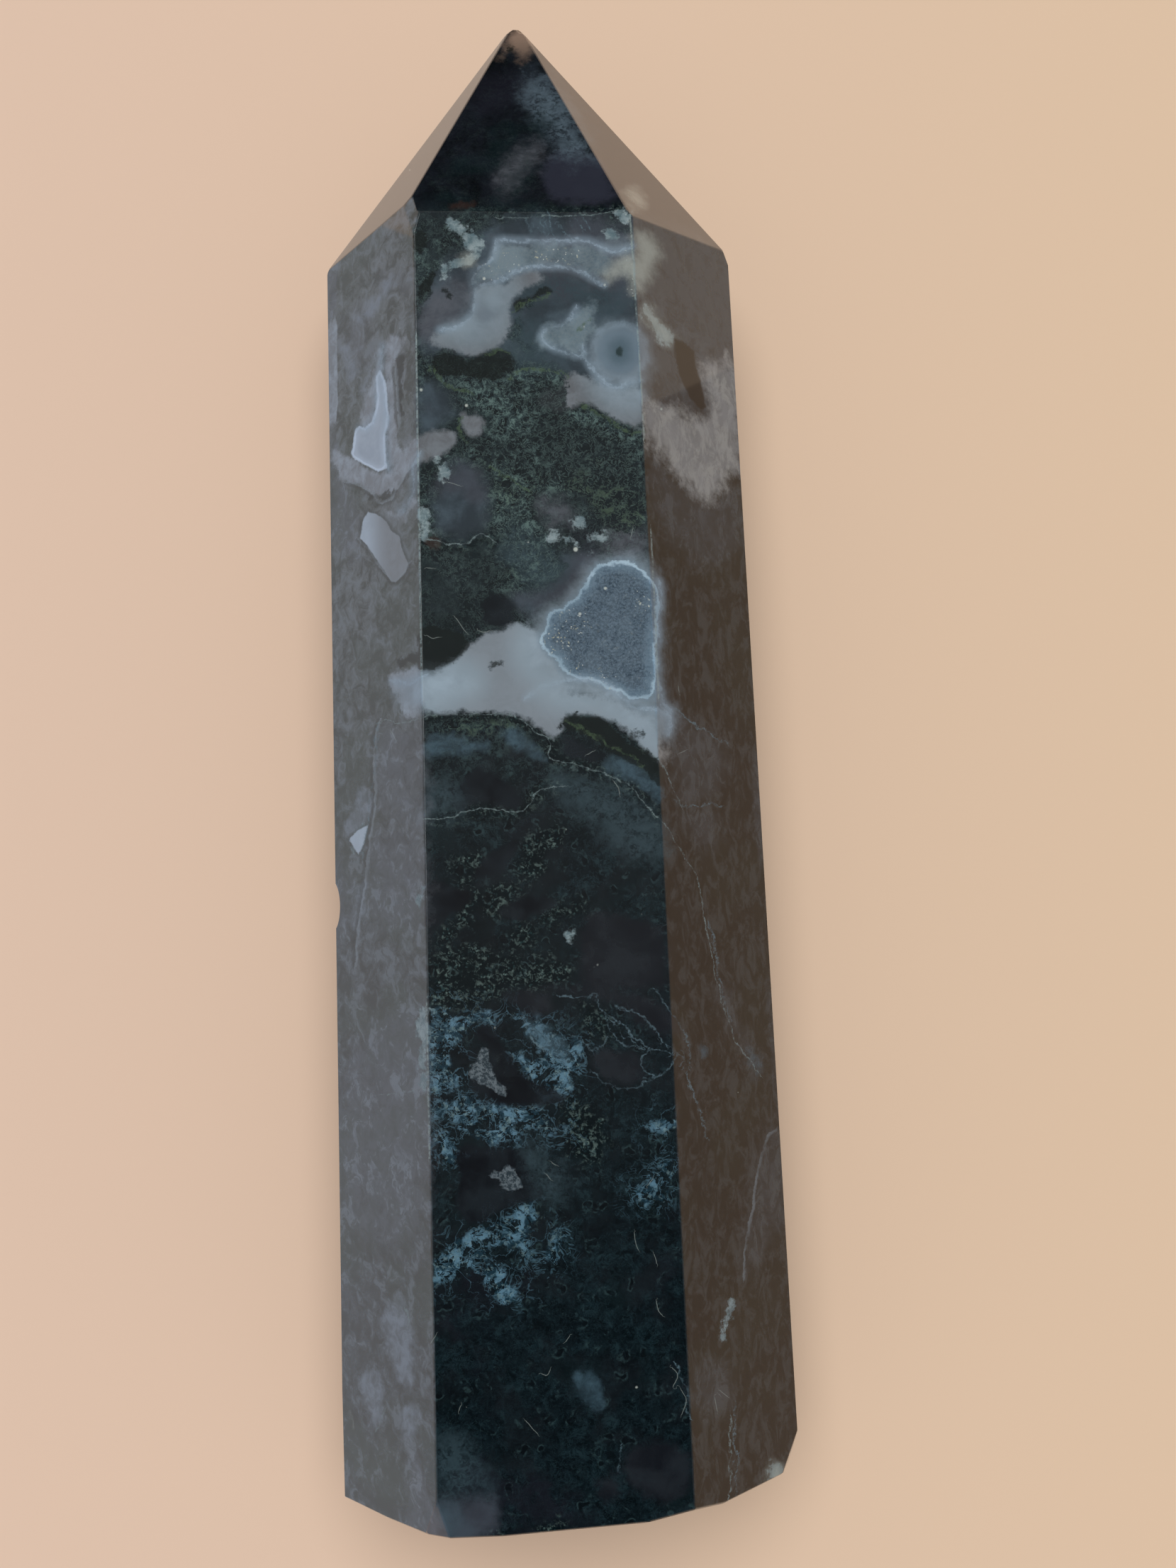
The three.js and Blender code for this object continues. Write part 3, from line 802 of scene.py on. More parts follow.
def marking_fields(points):
    """Each layer's field at the points."""
    areas = {layer: np.full(len(points), -FAR) for layer in [*OUTLINES, "grain"]}
    threads = {layer: np.full(len(points), FAR) for layer in THREADS}
    turned = (points, FADE), (rolled_over(points), HIDDEN_FADE), (stood_up(points), HIDDEN_FADE)
    for turned_points, fade in turned:
        lost = depth_below_upper_faces(turned_points) * fade
        reached = lost < OUT_OF_REACH
        lost, places = lost[reached], picture_place(turned_points[reached])
        for layer, known in areas.items():
            field = grain_field(places) if layer == "grain" else area_field(layer, places)
            known[reached] = np.maximum(field - lost, known[reached])
        for layer, known in threads.items():
            field = line_field(layer, places)
            field = field + np.where(field < 0, -lost, lost)
            known[reached] = np.where(abs(field) < abs(known[reached]), field, known[reached])
    return areas | threads | {layer + "_near": abs(field) for layer, field in threads.items()}


def add_stone():
    points, corners, facet_of = fine_mesh(solid_points, facets)
    mesh = bpy.data.meshes.new("agate")
    mesh.from_pydata(points * MM, [], corners.tolist())
    mesh.shade_smooth()
    fields = marking_fields(points)
    normals = soft_normals(points, corners, facet_of)
    upward, in_tip = normals[:, 2] > UPWARD, normals[:, 1] > SIDEWAYS
    fields["on_left"] = upward & ~in_tip & (normals[:, 0] < -SIDEWAYS)
    fields["on_right"] = upward & ~in_tip & (normals[:, 0] > SIDEWAYS)
    fields["on_tip_right"] = upward & in_tip & (normals[:, 0] > SIDEWAYS)
    for name, field in fields.items():
        attribute = mesh.attributes.new(name, "FLOAT", "POINT")
        attribute.data.foreach_set("value", np.clip(field, -FAR, FAR).astype(np.float32))
    mesh.normals_split_custom_set_from_vertices(normals)
    stone = add_object("agate", mesh)
    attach(stone, "root")
    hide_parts("moss_agate")
    mesh.materials.append(stone_material())


def colour(red, green, blue):
    """A colour as a screen shows it, 0 to 255, as the shader's linear numbers."""
    shares = [value / 255 for value in (red, green, blue)]
    return [s / 12.92 if s <= 0.04045 else ((s + 0.055) / 1.055) ** 2.4 for s in shares] + [1.0]


# The side faces lean away from the camera, so patterns are longer upwards and look even from there.
UPRIGHT_STRETCH = 0.5
WANDER = 7  # pixels beside a thread's path, beyond which it isn't drawn


class Paint:
    """The nodes of one material. A method that adds nodes gives back their output socket, and lay puts it
    into under, the colour painted so far. A tint is a socket or three screen values, 0 to 255. Lengths
    along the stone are in millimetres, and fields are in pixels."""

    def __init__(self, name):
        self.material = bpy.data.materials.new(name)
        self.material.use_nodes = True
        self.tree = self.material.node_tree
        self.tree.nodes.clear()
        coordinates = self.tree.nodes.new("ShaderNodeTexCoord").outputs["Object"]
        self.place = self.vector("MULTIPLY", coordinates, (1 / MM, 1 / MM, UPRIGHT_STRETCH / MM))
        parts = self.node("ShaderNodeSeparateXYZ", {0: self.place}).outputs
        self.across, self.along = parts["X"], parts["Y"]
        self.pushes = {}

    def node(self, kind, inputs, **settings):
        made = self.tree.nodes.new(kind)
        for key, value in settings.items():
            setattr(made, key, value)
        for key, value in inputs.items():
            if isinstance(value, bpy.types.NodeSocket):
                self.tree.links.new(value, made.inputs[key])
            else:
                made.inputs[key].default_value = value
        return made

    def vector(self, operation, first, second=(0, 0, 0), scale=1):
        inputs = {0: first, 1: second, 3: scale}
        return self.node("ShaderNodeVectorMath", inputs, operation=operation).outputs[0]

    def math(self, operation, first, second=0):
        return self.node("ShaderNodeMath", {0: first, 1: second}, operation=operation).outputs[0]

    def times(self, first, second):
        return self.math("MULTIPLY", first, second)

    def most(self, first, second):
        return self.math("MAXIMUM", first, second)

    def step(self, value, low, high, out_low=0, out_high=1):
        """From out_low to out_high, smoothly, as the value goes from low to high."""
        inputs = {"Value": value, "From Min": low, "From Max": high, "To Min": out_low, "To Max": out_high}
        return self.node("ShaderNodeMapRange", inputs, interpolation_type="SMOOTHSTEP").outputs["Result"]

    def band(self, value, rise_from, rise_to, fall_from, fall_to):
        return self.times(self.step(value, rise_from, rise_to), self.step(value, fall_to, fall_from))

    def mix(self, share, first, second, strength=1):
        """The first tint with the second over it, as far as share and strength say."""
        share = share if strength == 1 else self.times(share, strength)
        first, second = (colour(*tint) if isinstance(tint, tuple) else tint for tint in (first, second))
        return self.node("ShaderNodeMix", {0: share, 6: first, 7: second}, data_type="RGBA").outputs[2]

    def lay(self, share, tint, strength=1):
        self.under = self.mix(share, self.under, tint, strength)

    def noise(self, scale, detail, roughness, place=None):
        inputs = {"Vector": place or self.place, "Scale": scale, "Detail": detail, "Roughness": roughness}
        return self.node("ShaderNodeTexNoise", inputs).outputs["Fac"]

    def cells(self, scale, place):
        return self.node("ShaderNodeTexVoronoi", {"Vector": place, "Scale": scale}).outputs["Distance"]

    def warped(self, scale, amount, place=None):
        """The place, pushed about by a soft noise of that scale."""
        if (scale, place) not in self.pushes:
            inputs = {"Vector": place or self.place, "Scale": scale, "Detail": 1}
            push = self.node("ShaderNodeTexNoise", inputs).outputs["Color"]
            self.pushes[scale, place] = self.vector("SUBTRACT", push, (0.5, 0.5, 0.5))
        push = self.vector("SCALE", self.pushes[scale, place], scale=amount)
        return self.vector("ADD", place or self.place, push)

    def shifted(self, amount):
        """The place, moved on along the stone, for a noise of its own."""
        return self.vector("ADD", self.place, (amount, amount * 2, -amount))

    def combed(self, turn, stretch):
        """The place turned round and squeezed along the stone, so that a noise on it draws out in strands."""
        inputs = {"Vector": self.place, "Rotation": (0, 0, turn), "Scale": (1, stretch, 1)}
        return self.node("ShaderNodeMapping", inputs).outputs[0]

    def ridges(self, scale, width, place, detail, roughness):
        """Thin wandering lines: one where the noise crosses its middle."""
        away = self.math("ABSOLUTE", self.math("SUBTRACT", self.noise(scale, detail, roughness, place), 0.5))
        return self.step(away, width, 0)

    def field(self, layer):
        return self.node("ShaderNodeAttribute", {}, attribute_name=layer).outputs["Fac"]

    def ragged_field(self, layer, rough):
        """The layer's field, so that its edges and threads wander by a share of rough."""
        return self.math("ADD", self.field(layer), self.times(self.ragged, rough))

    def cover(self, layer, soft, rough, least=0):
        """Where the layer's outlines lie, with an edge that fades over soft pixels and wanders."""
        return self.step(self.ragged_field(layer, rough), least - soft, least + soft)

    def by_thread(self, layer):
        """Where one of the layer's threads is close enough to be drawn."""
        return self.step(self.field(layer + "_near"), WANDER, 4)

    def line(self, layer, width, rough):
        """The layer's threads, drawn that many pixels wide on each side of their middle."""
        aside = self.math("ABSOLUTE", self.ragged_field(layer, rough))
        return self.times(self.step(aside, width, width * 0.4), self.by_thread(layer))

    def finished(self, values):
        """The material, with the painted colour and the values on its shader."""
        shader = self.node("ShaderNodeBsdfPrincipled", {"Base Color": self.under} | values)
        output = self.tree.nodes.new("ShaderNodeOutputMaterial")
        self.tree.links.new(shader.outputs[0], output.inputs[0])
        return self.material


def paint_ground(paint):
    """Dark stone that drifts in hue: clearer towards the shoulder, near black in the tip and the foot."""
    drift = paint.step(paint.noise(0.3, 5, 0.66, paint.warped(0.2, 4)), 0.36, 0.64)
    low = paint.mix(drift, (11, 15, 19), (23, 29, 34))
    high = paint.mix(drift, (17, 27, 30), (36, 48, 53))
    tip = paint.mix(drift, (10, 12, 16), (23, 27, 35))
    paint.under = paint.mix(paint.in_tip, paint.mix(paint.towards_tip, low, high), tip)
    paint.lay(paint.step(paint.hue, 0.54, 0.68, 0, 0.6), (27, 28, 38))
    paint.lay(paint.step(paint.hue, 0.46, 0.34, 0, 0.5), (14, 30, 33))


def paint_moss(paint):
    """Felted growth with dark hollows and brighter tufts, thickest in the lively layer."""
    lively = paint.cover("lively", 8, 50)
    felt = paint.noise(1.5, 4, 0.8, paint.warped(0.9, 1.4))
    tufts = paint.step(paint.noise(0.6, 5, 0.72, paint.warped(0.5, 2.4)), 0.44, 0.6)
    tufts = paint.most(paint.times(tufts, 0.75), paint.cover("tuft", 8, 50))
    tufts = paint.times(tufts, paint.step(paint.cover("shade", 10, 60), 0, 1, 1, 0.15))
    hollow = paint.mix(paint.towards_tip, (6, 14, 18), (19, 27, 30))
    dim = paint.mix(paint.towards_tip, (11, 21, 26), (22, 31, 35))
    body = paint.mix(tufts, dim, paint.mix(paint.towards_tip, (17, 32, 38), (38, 52, 56)))
    bright = paint.mix(paint.towards_tip, (31, 49, 55), (88, 112, 110))
    moss = paint.mix(paint.step(felt, 0.41, 0.52), hollow, body)
    strands = paint.ridges(2.2, 0.035, paint.warped(1.8, 0.9), 3, 0.7)
    crest = paint.most(paint.step(felt, 0.53, 0.62), paint.times(strands, 0.7))
    moss = paint.mix(paint.times(crest, paint.math("ADD", paint.times(tufts, 0.7), 0.15)), moss, bright)
    moss = paint.mix(strands, moss, bright, 0.3)
    green = paint.times(paint.step(paint.hue, 0.5, 0.6), paint.times(lively, crest))
    moss = paint.mix(green, moss, (74, 94, 66), 0.3)
    plain = paint.step(paint.noise(0.35, 4, 0.6, paint.shifted(7)), 0.38, 0.56, 0.3, 0.85)
    plain = paint.times(plain, paint.step(paint.in_tip, 0, 1, 1, 0.12))
    paint.lay(paint.most(paint.times(lively, 0.95), plain), moss)


def paint_speckle(paint):
    """Pale crumbs on nearly black, in the speckled patches and in bands beside the threads, and pits with
    pale rims near the foot."""
    beside = paint.step(paint.field("thread_near"), 16, 5, 0, 0.7)
    area = paint.most(paint.cover("speckle", 12, 60), beside)
    paint.lay(area, (4, 14, 18), 0.92)
    clumps = paint.step(paint.noise(1, 4, 0.74, paint.warped(0.9, 1.4)), 0.36, 0.54)
    crumbs = paint.step(paint.cells(4.4, paint.warped(2.6, 0.3)), 0.5, 0.22)
    crumbs = paint.times(crumbs, paint.step(paint.noise(2.4, 3, 0.8, paint.shifted(11)), 0.38, 0.56))
    crumbs = paint.most(crumbs, paint.step(paint.fine, 0.5, 0.66, 0, 0.55))
    tint = paint.mix(paint.step(paint.fine, 0.42, 0.62), (26, 48, 51), (88, 108, 106))
    paint.lay(paint.times(crumbs, paint.times(clumps, area)), tint)
    pits = paint.cells(0.8, paint.warped(1.1, 1.6))
    pitted = paint.times(paint.step(paint.along, 3, -1), paint.step(paint.smoke, 0.2, 0.7))
    rims = paint.times(paint.band(pits, 0.2, 0.27, 0.29, 0.4), paint.step(paint.fine, 0.4, 0.6))
    paint.lay(paint.times(rims, pitted), (46, 66, 70), 0.55)
    paint.lay(paint.times(paint.step(pits, 0.25, 0.19), pitted), (8, 13, 17), 0.8)


def paint_webs(paint):
    """Sheets of blue green foam, torn at their edges, pricked with holes and drawn out into strands."""
    torn = paint.noise(1.1, 5, 0.78, paint.warped(0.7, 1.6))
    sheet = paint.mix(paint.step(paint.smoke, 0.3, 0.8), (22, 45, 57), (78, 112, 132))
    sheet = paint.mix(paint.step(paint.fine, 0.54, 0.62, 0, 0.6), sheet, (102, 128, 134))
    holes = paint.step(paint.cells(1.6, paint.warped(2, 0.8)), 0.24, 0.18)
    holes = paint.most(holes, paint.step(torn, 0.505, 0.475))
    sheet = paint.mix(holes, sheet, (7, 16, 20), 0.95)
    paint.lay(paint.times(paint.cover("web", 7, 60, 1), paint.step(torn, 0.38, 0.42)), sheet)
    strands = paint.ridges(0.8, 0.022, paint.warped(0.6, 2.6), 4, 0.6)
    around = paint.times(paint.cover("web", 26, 70, -16), paint.step(paint.fine, 0.3, 0.5, 0.3, 1))
    paint.lay(paint.times(strands, around), (66, 96, 112), 0.8)


def paint_side_veils(paint):
    """The side faces are seen through cloudier stone: grey on the left, partly the stone's own cloud and
    partly painted light and reflection, the pale veil that the left face catches, and nearly black on the
    right, where the reflected floor makes it brown."""
    clouds = paint.step(paint.hue, 0.4, 0.6)
    misty = paint.math("ADD", paint.times(paint.cover("mist", 16, 50), 0.55), 0.4)
    smudges = paint.noise(0.7, 5, 0.7, paint.warped(0.8, 2.4))
    smudged = paint.step(smudges, 0.38, 0.55)
    low = paint.mix(smudged, (54, 57, 60), (70, 76, 82))
    high = paint.mix(smudged, (56, 62, 62), (92, 99, 103))
    grey = paint.mix(paint.step(paint.along, -30, 24), low, high)
    grey = paint.mix(clouds, grey, (62, 72, 68), 0.5)
    grey = paint.mix(paint.times(paint.step(smudges, 0.52, 0.62), misty), grey, (112, 123, 134))
    # Painted light and reflection: the pale grey veil of the left face, over the stone's own cloudier grey.
    paint.lay(paint.on_left, grey, 0.95)
    hairs = paint.noise(1.5, 4, 0.74, paint.warped(0.8, 1.6, paint.combed(-0.5, 0.5)))
    dark = paint.mix(paint.step(hairs, 0.38, 0.58), (0, 0, 0), (18, 18, 19))
    dark = paint.mix(clouds, dark, (24, 27, 16), 0.4)
    dusky = paint.mix(paint.smoke, (38, 41, 46), (70, 77, 84))
    dark = paint.mix(paint.step(paint.along, 17, 23, 0, 0.9), dark, dusky)
    dark = paint.mix(paint.times(paint.step(hairs, 0.46, 0.62), misty), dark, (64, 69, 72))
    paint.lay(paint.on_right, dark, 0.95)
    paint.hairs = paint.step(hairs, 0.4, 0.62)
    paint.lay(paint.field("on_tip_right"), (36, 41, 48), 0.8)


def paint_dark_stone(paint):
    """The smooth darker parts, where moss doesn't grow over them."""
    slate = paint.mix(paint.soft, (40, 50, 58), (62, 77, 88))
    slate = paint.mix(paint.step(paint.hue, 0.46, 0.6, 0, 0.6), slate, (58, 61, 71))
    paint.lay(paint.times(paint.cover("slate", 16, 46), paint.bare), slate, 0.92)
    dusk = paint.mix(paint.soft, (20, 23, 29), (31, 36, 42))
    paint.lay(paint.cover("dusk", 10, 40), paint.mix(paint.in_tip, dusk, (48, 52, 66), 0.7), 0.9)
    paint.lay(paint.cover("indigo", 5, 30), paint.mix(paint.soft, (9, 12, 18), (24, 31, 37)), 0.92)
    wisps = paint.step(paint.most(paint.step(paint.fine, 0.36, 0.64), paint.smoke), 0, 1, 0.2, 0.85)
    cloud = paint.mix(paint.in_tip, (46, 63, 71), (80, 97, 110))
    paint.lay(paint.times(paint.cover("cloud", 24, 60, -6), wisps), cloud)
    mist = paint.times(paint.cover("mist", 20, 60), paint.step(paint.smoke, 0, 1, 0.35, 0.75))
    paint.lay(paint.times(mist, paint.bare), paint.mix(paint.on_right, (80, 86, 95), (54, 59, 65)))


def paint_pale_stone(paint):
    """The hazes, cooler on the top and left faces and warmer on the right, the milky band, and at the
    apex painted light: the peach of the floor's light shining through the thin tip.
    """
    near_milk = paint.step(paint.field("milky"), -45, 0)
    pale = paint.mix(near_milk, (111, 122, 132), (124, 142, 155))
    clear = paint.mix(near_milk, (88, 93, 99), (103, 117, 127))
    pale = paint.mix(paint.step(paint.along, 6, 16), pale, clear)
    pale = paint.mix(paint.smoke, pale, (124, 137, 148), 0.35)
    left_pale = paint.mix(paint.smoke, (114, 121, 129), (142, 154, 167))
    pale = paint.mix(paint.on_left, pale, left_pale, 0.85)
    elsewhere = paint.step(paint.on_right, 0, 1, 1, 0)
    paint.lay(paint.times(paint.times(paint.cover("haze", 5, 30), paint.bare), elsewhere), pale)
    warm = paint.mix(paint.hairs, (112, 114, 116), (142, 143, 142))
    warm = paint.mix(paint.soft, warm, (130, 132, 136), 0.6)
    paint.lay(paint.times(paint.cover("haze", 14, 60), paint.on_right), warm, 0.92)
    dim = paint.mix(paint.soft, (96, 110, 122), (114, 131, 143))
    bright = paint.mix(paint.soft, (116, 132, 144), (138, 158, 174))
    paint.lay(paint.cover("milky", 20, 26), paint.mix(paint.step(paint.along, 26, 15), dim, bright), 0.92)
    # Painted light: the floor's peach light shining through the thin apex, laid on as colour.
    apex = paint.mix(paint.step(paint.along, 45, 47.5), (104, 91, 82), (140, 121, 108))
    paint.lay(paint.cover("peach", 9, 30, 2), apex, 0.85)


def paint_crystals(paint):
    """The druse: steel blue grains in a pale scalloped rim, duller grey patches of the same, and painted
    glints where its crystal faces catch the light.
    """
    grains = paint.step(paint.noise(7, 2, 0.7, paint.warped(3, 0.25)), 0.3, 0.7)
    dull = paint.mix(paint.soft, (74, 94, 106), (106, 127, 139))
    paint.lay(paint.cover("quartz", 8, 40), paint.mix(grains, dull, (126, 138, 142), 0.35), 0.75)
    grey = paint.mix(paint.step(paint.noise(5, 2, 0.8), 0.4, 0.62), (40, 52, 60), (90, 102, 110))
    paint.lay(paint.cover("crystal", 1.5, 24), grey, 0.92)
    inward = paint.ragged_field("pocket", 22)
    paint.lay(paint.step(inward, -12, -2, 0, 0.5), (92, 112, 128))
    paint.lay(paint.step(inward, -4, -1.5), paint.mix(paint.soft, (122, 148, 166), (152, 178, 196)))
    steel = paint.mix(grains, (42, 58, 72), (82, 101, 117))
    steel = paint.mix(paint.smoke, steel, (94, 112, 126), 0.4)
    steel = paint.mix(paint.step(inward, 20, 0, 0, 0.5), steel, (104, 130, 150))
    paint.lay(paint.step(inward, -1, 3), steel)
    # Painted highlights: glints of light off the druse's crystals, cream and larger, then small and white.
    glinting = paint.most(paint.cover("glint", 8, 30), paint.times(paint.step(inward, 0, 6), 0.1))
    glints = paint.step(paint.cells(1.9, paint.warped(2.6, 1.2)), 0.26, 0.12)
    glints = paint.times(glints, paint.step(paint.fine, 0.46, 0.56))
    paint.lay(paint.times(glints, glinting), (160, 164, 146), 0.8)
    glints = paint.step(paint.cells(3.6, paint.warped(2, 0.6)), 0.2, 0.06)
    paint.lay(paint.times(glints, glinting), (176, 186, 184))


def paint_eye(paint):
    """A round of banded chalcedony with a dark dot in it."""
    inward = paint.ragged_field("eye", 14)
    ring = paint.band(inward, -9, -2, 0, 8)
    paint.lay(paint.times(ring, paint.step(paint.smoke, 0, 1, 0.2, 0.6)), (114, 134, 150))
    paint.lay(paint.step(inward, -2, 10, 0, 0.85), (90, 109, 124))
    paint.lay(paint.step(inward, 8, 30, 0, 0.85), (66, 86, 98))
    paint.lay(paint.step(inward, 27, 31, 0, 0.9), (32, 48, 50))


def paint_flakes(paint):
    """Flakes and faint patches, the panes and shards with their edges, and small single spots."""
    pale = paint.mix(paint.smoke, (84, 107, 116), (138, 156, 162))
    pale = paint.mix(paint.step(paint.fine, 0.5, 0.6), pale, (60, 84, 90), 0.4)
    paint.lay(paint.cover("flake", 3, 46), pale, 0.85)
    faint = paint.times(paint.cover("faint", 7, 34), paint.math("ADD", paint.times(paint.smoke, 0.5), 0.25))
    paint.lay(faint, paint.mix(paint.on_left, (62, 86, 100), (116, 128, 142)))
    pane = paint.mix(paint.step(paint.across, -8.6, -10.8), (114, 121, 128), (160, 176, 192))
    inward = paint.ragged_field("pane", 6)
    paint.lay(paint.step(inward, -5, -0.5, 0, 0.6), (52, 60, 62))
    paint.lay(paint.step(inward, -0.5, 1.5, 0, 0.95), paint.mix(paint.smoke, pane, (134, 145, 156), 0.3))
    inward = paint.ragged_field("shard", 6)
    shard = paint.mix(paint.step(inward, 10, 0), (144, 158, 174), (164, 180, 198))
    paint.lay(paint.step(inward, -1, 1, 0, 0.97), paint.mix(paint.smoke, shard, (168, 182, 196), 0.35))
    paint.lay(paint.band(inward, -2.5, -0.5, 0.5, 3), (190, 208, 228), 0.75)
    paint.lay(paint.cover("cream", 14, 30), (146, 154, 150), 0.8)
    paint.lay(paint.cover("dark", 2.5, 34), (18, 25, 25), 0.85)
    paint.lay(paint.cover("brown", 2, 14), (9, 8, 6), 0.96)
    paint.lay(paint.cover("rust", 4, 26), (50, 36, 32), 0.6)


def paint_threads(paint):
    """Cracks with painted shade on one side and painted light on the other, fringes and fine lines, which
    break off and go on, painted highlights along the face edges, and the single bright grains with their
    painted sparkle.
    """
    breaks = paint.step(paint.fine, 0.4, 0.58, 0.15, 1)
    long_breaks = paint.step(paint.noise(0.35, 4, 0.6, paint.shifted(29)), 0.36, 0.56, 0.35, 1)
    both = paint.times(breaks, long_breaks)
    aside = paint.ragged_field("crack", 12)
    on_crack = paint.times(paint.by_thread("crack"), long_breaks)
    # Painted shade on one side of each crack and painted light on the other, as its inner face catches the
    # light.
    paint.lay(paint.times(on_crack, paint.band(aside, -0.5, 1, 2, 6)), (34, 38, 40), 0.5)
    paint.lay(paint.times(on_crack, paint.band(aside, -5, -1.5, -0.5, 0.5)), (122, 134, 144), 0.4)
    paint.lay(paint.times(paint.line("fringe", 3.4, 40), breaks), (66, 86, 64), 0.6)
    paint.lay(paint.times(paint.line("net", 1.6, 26), both), (84, 108, 120), 0.7)
    glow = paint.step(paint.field("rim_near"), 11, 0, 0, 0.4)
    paint.lay(paint.times(glow, long_breaks), (128, 150, 168))
    paint.lay(paint.times(paint.line("rim", 3, 24), both), (140, 162, 180), 0.45)
    # Painted highlight along the face edges, where the narrow bevels catch the light.
    paint.lay(paint.times(paint.line("edge", 1.8, 2), breaks), (134, 150, 150), 0.6)
    breaks = paint.times(breaks, paint.step(long_breaks, 0, 1, 0.3, 1))
    paint.lay(paint.times(paint.line("thread", 1.1, 16), breaks), (104, 122, 126), 0.75)
    paint.lay(paint.line("fibre", 0.7, 4), (140, 152, 150), 0.4)
    # Painted highlights: the single bright grains, sparkling where chips and crystals catch the light.
    paint.lay(paint.step(paint.field("grain"), 0.8, 3, 0, 0.8), (176, 186, 182))


# How much of each colour the stone of a side face has beside what the light from the floor shows of it.
LEFT_STONE = (0.96, 1.1, 1.28)
RIGHT_STONE = (0.92, 1.03, 1.14)


def paint_side_light(paint):
    """The floor's warm light falls on the side faces, so their stone is bluer than it looks."""
    left, right = (paint.vector("MULTIPLY", paint.under, tint) for tint in (LEFT_STONE, RIGHT_STONE))
    paint.lay(paint.on_left, left)
    paint.lay(paint.on_right, right)


def stone_material():
    paint = Paint("agate")
    paint.ragged = paint.math("SUBTRACT", paint.noise(1, 5, 0.7), 0.5)
    paint.fine = paint.noise(3.2, 3, 0.72, paint.warped(2.4, 0.5))
    paint.soft = paint.step(paint.noise(0.45, 5, 0.56, paint.warped(0.4, 1.5)), 0.36, 0.66)
    paint.smoke = paint.step(paint.noise(0.9, 5, 0.68, paint.warped(0.8, 1.6)), 0.34, 0.68)
    paint.hue = paint.noise(0.14, 4, 0.56, paint.shifted(31))
    paint.towards_tip = paint.step(paint.along, -10, 14)
    paint.in_tip = paint.step(paint.along, 30, 33)
    paint.on_left, paint.on_right = paint.field("on_left"), paint.field("on_right")
    paint.bare = paint.step(paint.cover("lively", 5, 60), 0, 1, 1, 0.1)
    paint_ground(paint)
    paint_moss(paint)
    paint_speckle(paint)
    paint_webs(paint)
    paint_side_veils(paint)
    paint_dark_stone(paint)
    paint_pale_stone(paint)
    paint_crystals(paint)
    paint_eye(paint)
    paint_flakes(paint)
    paint_threads(paint)
    paint_side_light(paint)
    return paint.finished({"Roughness": 0.06, "IOR": 1.5})


# The floor curves up all round, far from the stone: how far out, and how high, in metres.
SWEEP = [(0, 0), (1.2, 0), (2, 0.07), (3, 0.35), (4, 0.95), (4.6, 1.7)]
SWEEP_SIDES = 64
FLOOR_LEFT = (217.2, 192.5, 174.3)
FLOOR_RIGHT = (215.8, 191.7, 164.7)
FLOOR_FAR = (216.5, 192.1, 169.6)


def floor_material():
    """Plain peach, a little yellower to the right of the stone, a painted tint of the warmer light there, and
    even far from it.
    """
    paint = Paint("floor")
    # Painted light: the floor turns yellower to the right, where the light on it is warmer.
    peach = paint.mix(paint.step(paint.across, -60, 90), FLOOR_LEFT, FLOOR_RIGHT)
    away = paint.node("ShaderNodeVectorMath", {0: paint.place}, operation="LENGTH").outputs["Value"]
    paint.under = paint.mix(paint.step(away, 100, 900), peach, FLOOR_FAR)
    return paint.finished({"Roughness": 0.9, "Specular IOR Level": 0.1})


def add_floor():
    turns = [math.tau * side / SWEEP_SIDES for side in range(SWEEP_SIDES)]
    places = [(out * math.cos(turn), out * math.sin(turn), high) for out, high in SWEEP for turn in turns]
    faces = []
    for low in range(0, len(places) - SWEEP_SIDES, SWEEP_SIDES):
        high = low + SWEEP_SIDES
        for side in range(SWEEP_SIDES):
            after = (side + 1) % SWEEP_SIDES
            faces.append((low + side, high + side, high + after, low + after))
    mesh = bpy.data.meshes.new("floor")
    mesh.from_pydata(places, [], faces)
    mesh.shade_smooth()
    mesh.materials.append(floor_material())
    floor = add_object("floor", mesh)


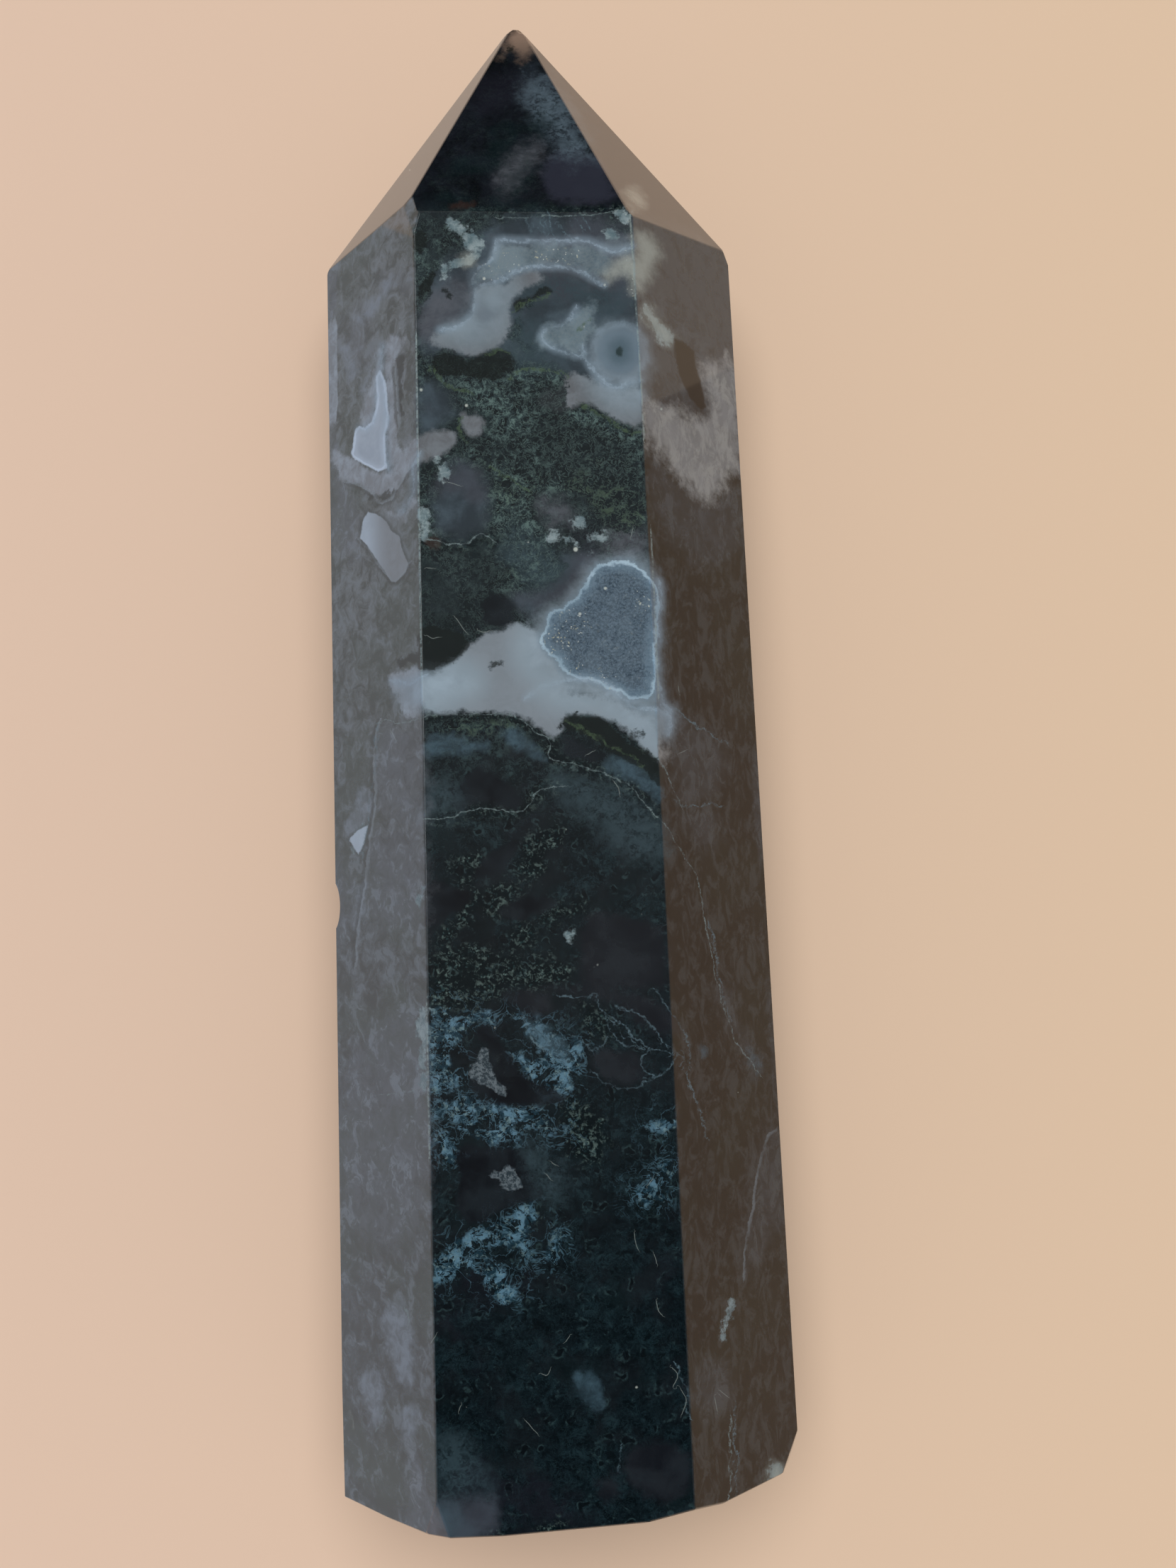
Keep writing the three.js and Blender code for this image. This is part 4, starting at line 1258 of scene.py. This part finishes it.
# The polish mirrors these cards, as it mirrors the darker side of a room: a colour, a height or two, and
# corners, in millimetres.
BLACK = (0, 0, 0, 1)
DIM = (0.45, 0.335, 0.25, 1)
COOL = (0.385, 0.39, 0.405, 1)
PALE = (0.56, 0.455, 0.38, 1)
CARDS = {
    "card_above": (BLACK, [(-25, -120, 150), (65, -120, 150), (65, 110, 150), (-25, 110, 150)]),
    "card_beyond": (BLACK, [(-60, 100, 0.5), (60, 100, 0.5), (60, 100, 45), (-60, 100, 45)]),
    "card_right": (DIM, [(16, -60, 0.5), (90, -60, 0.5), (90, 30, 0.5), (16, 30, 0.5)]),
    "card_left": (COOL, [(-90, -60, 0.6), (-17, -60, 0.6), (-17, 34, 0.6), (-24, 42, 0.6), (-90, 42, 0.6)]),
    "card_tip": (PALE, [(-90, 36, 0.4), (-3, 36, 0.4), (1, 47, 0.4), (1, 90, 0.4), (-90, 90, 0.4)]),
}


def add_card(name, shade, corners):
    """A card that only reflections see."""
    mesh = bpy.data.meshes.new(name)
    mesh.from_pydata([[mm * MM for mm in corner] for corner in corners], [], [range(len(corners))])
    material = bpy.data.materials.new(name)
    material.use_nodes = True
    shader = material.node_tree.nodes["Principled BSDF"]
    shader.inputs["Base Color"].default_value = shade
    shader.inputs["Roughness"].default_value = 0.9
    shader.inputs["Specular IOR Level"].default_value = 0
    mesh.materials.append(material)
    card = add_object(name, mesh)
    card.visible_camera = card.visible_diffuse = card.visible_shadow = False
    card.visible_transmission = card.visible_volume_scatter = False


LIGHT_FROM = (0.03, 0.2, 0.8)
LIGHT_WIDTH = 36  # degrees
LIGHT_STRENGTH = 2.3
LIGHT_TINT = (1, 0.98, 0.96)
SKY_STRENGTH = 0.31
SKY_TINT = (1, 0.97, 0.95, 1)


def add_light():
    data = bpy.data.lights.new("key", "SUN")
    data.angle = math.radians(LIGHT_WIDTH)
    data.energy = LIGHT_STRENGTH
    data.color = LIGHT_TINT
    add_object("key", data).rotation_euler = (-Vector(LIGHT_FROM)).to_track_quat("-Z", "Y").to_euler()


def add_sky():
    world = bpy.data.worlds.new("studio")
    bpy.context.scene.world = world
    world.use_nodes = True
    background = world.node_tree.nodes["Background"]
    background.inputs["Color"].default_value = SKY_TINT
    background.inputs["Strength"].default_value = SKY_STRENGTH


add_camera()
add_stone()
add_floor()
add_sky()
add_light()
for name, (shade, corners) in CARDS.items():
    add_card(name, shade, corners)
bpy.context.scene.view_settings.view_transform = "Standard"
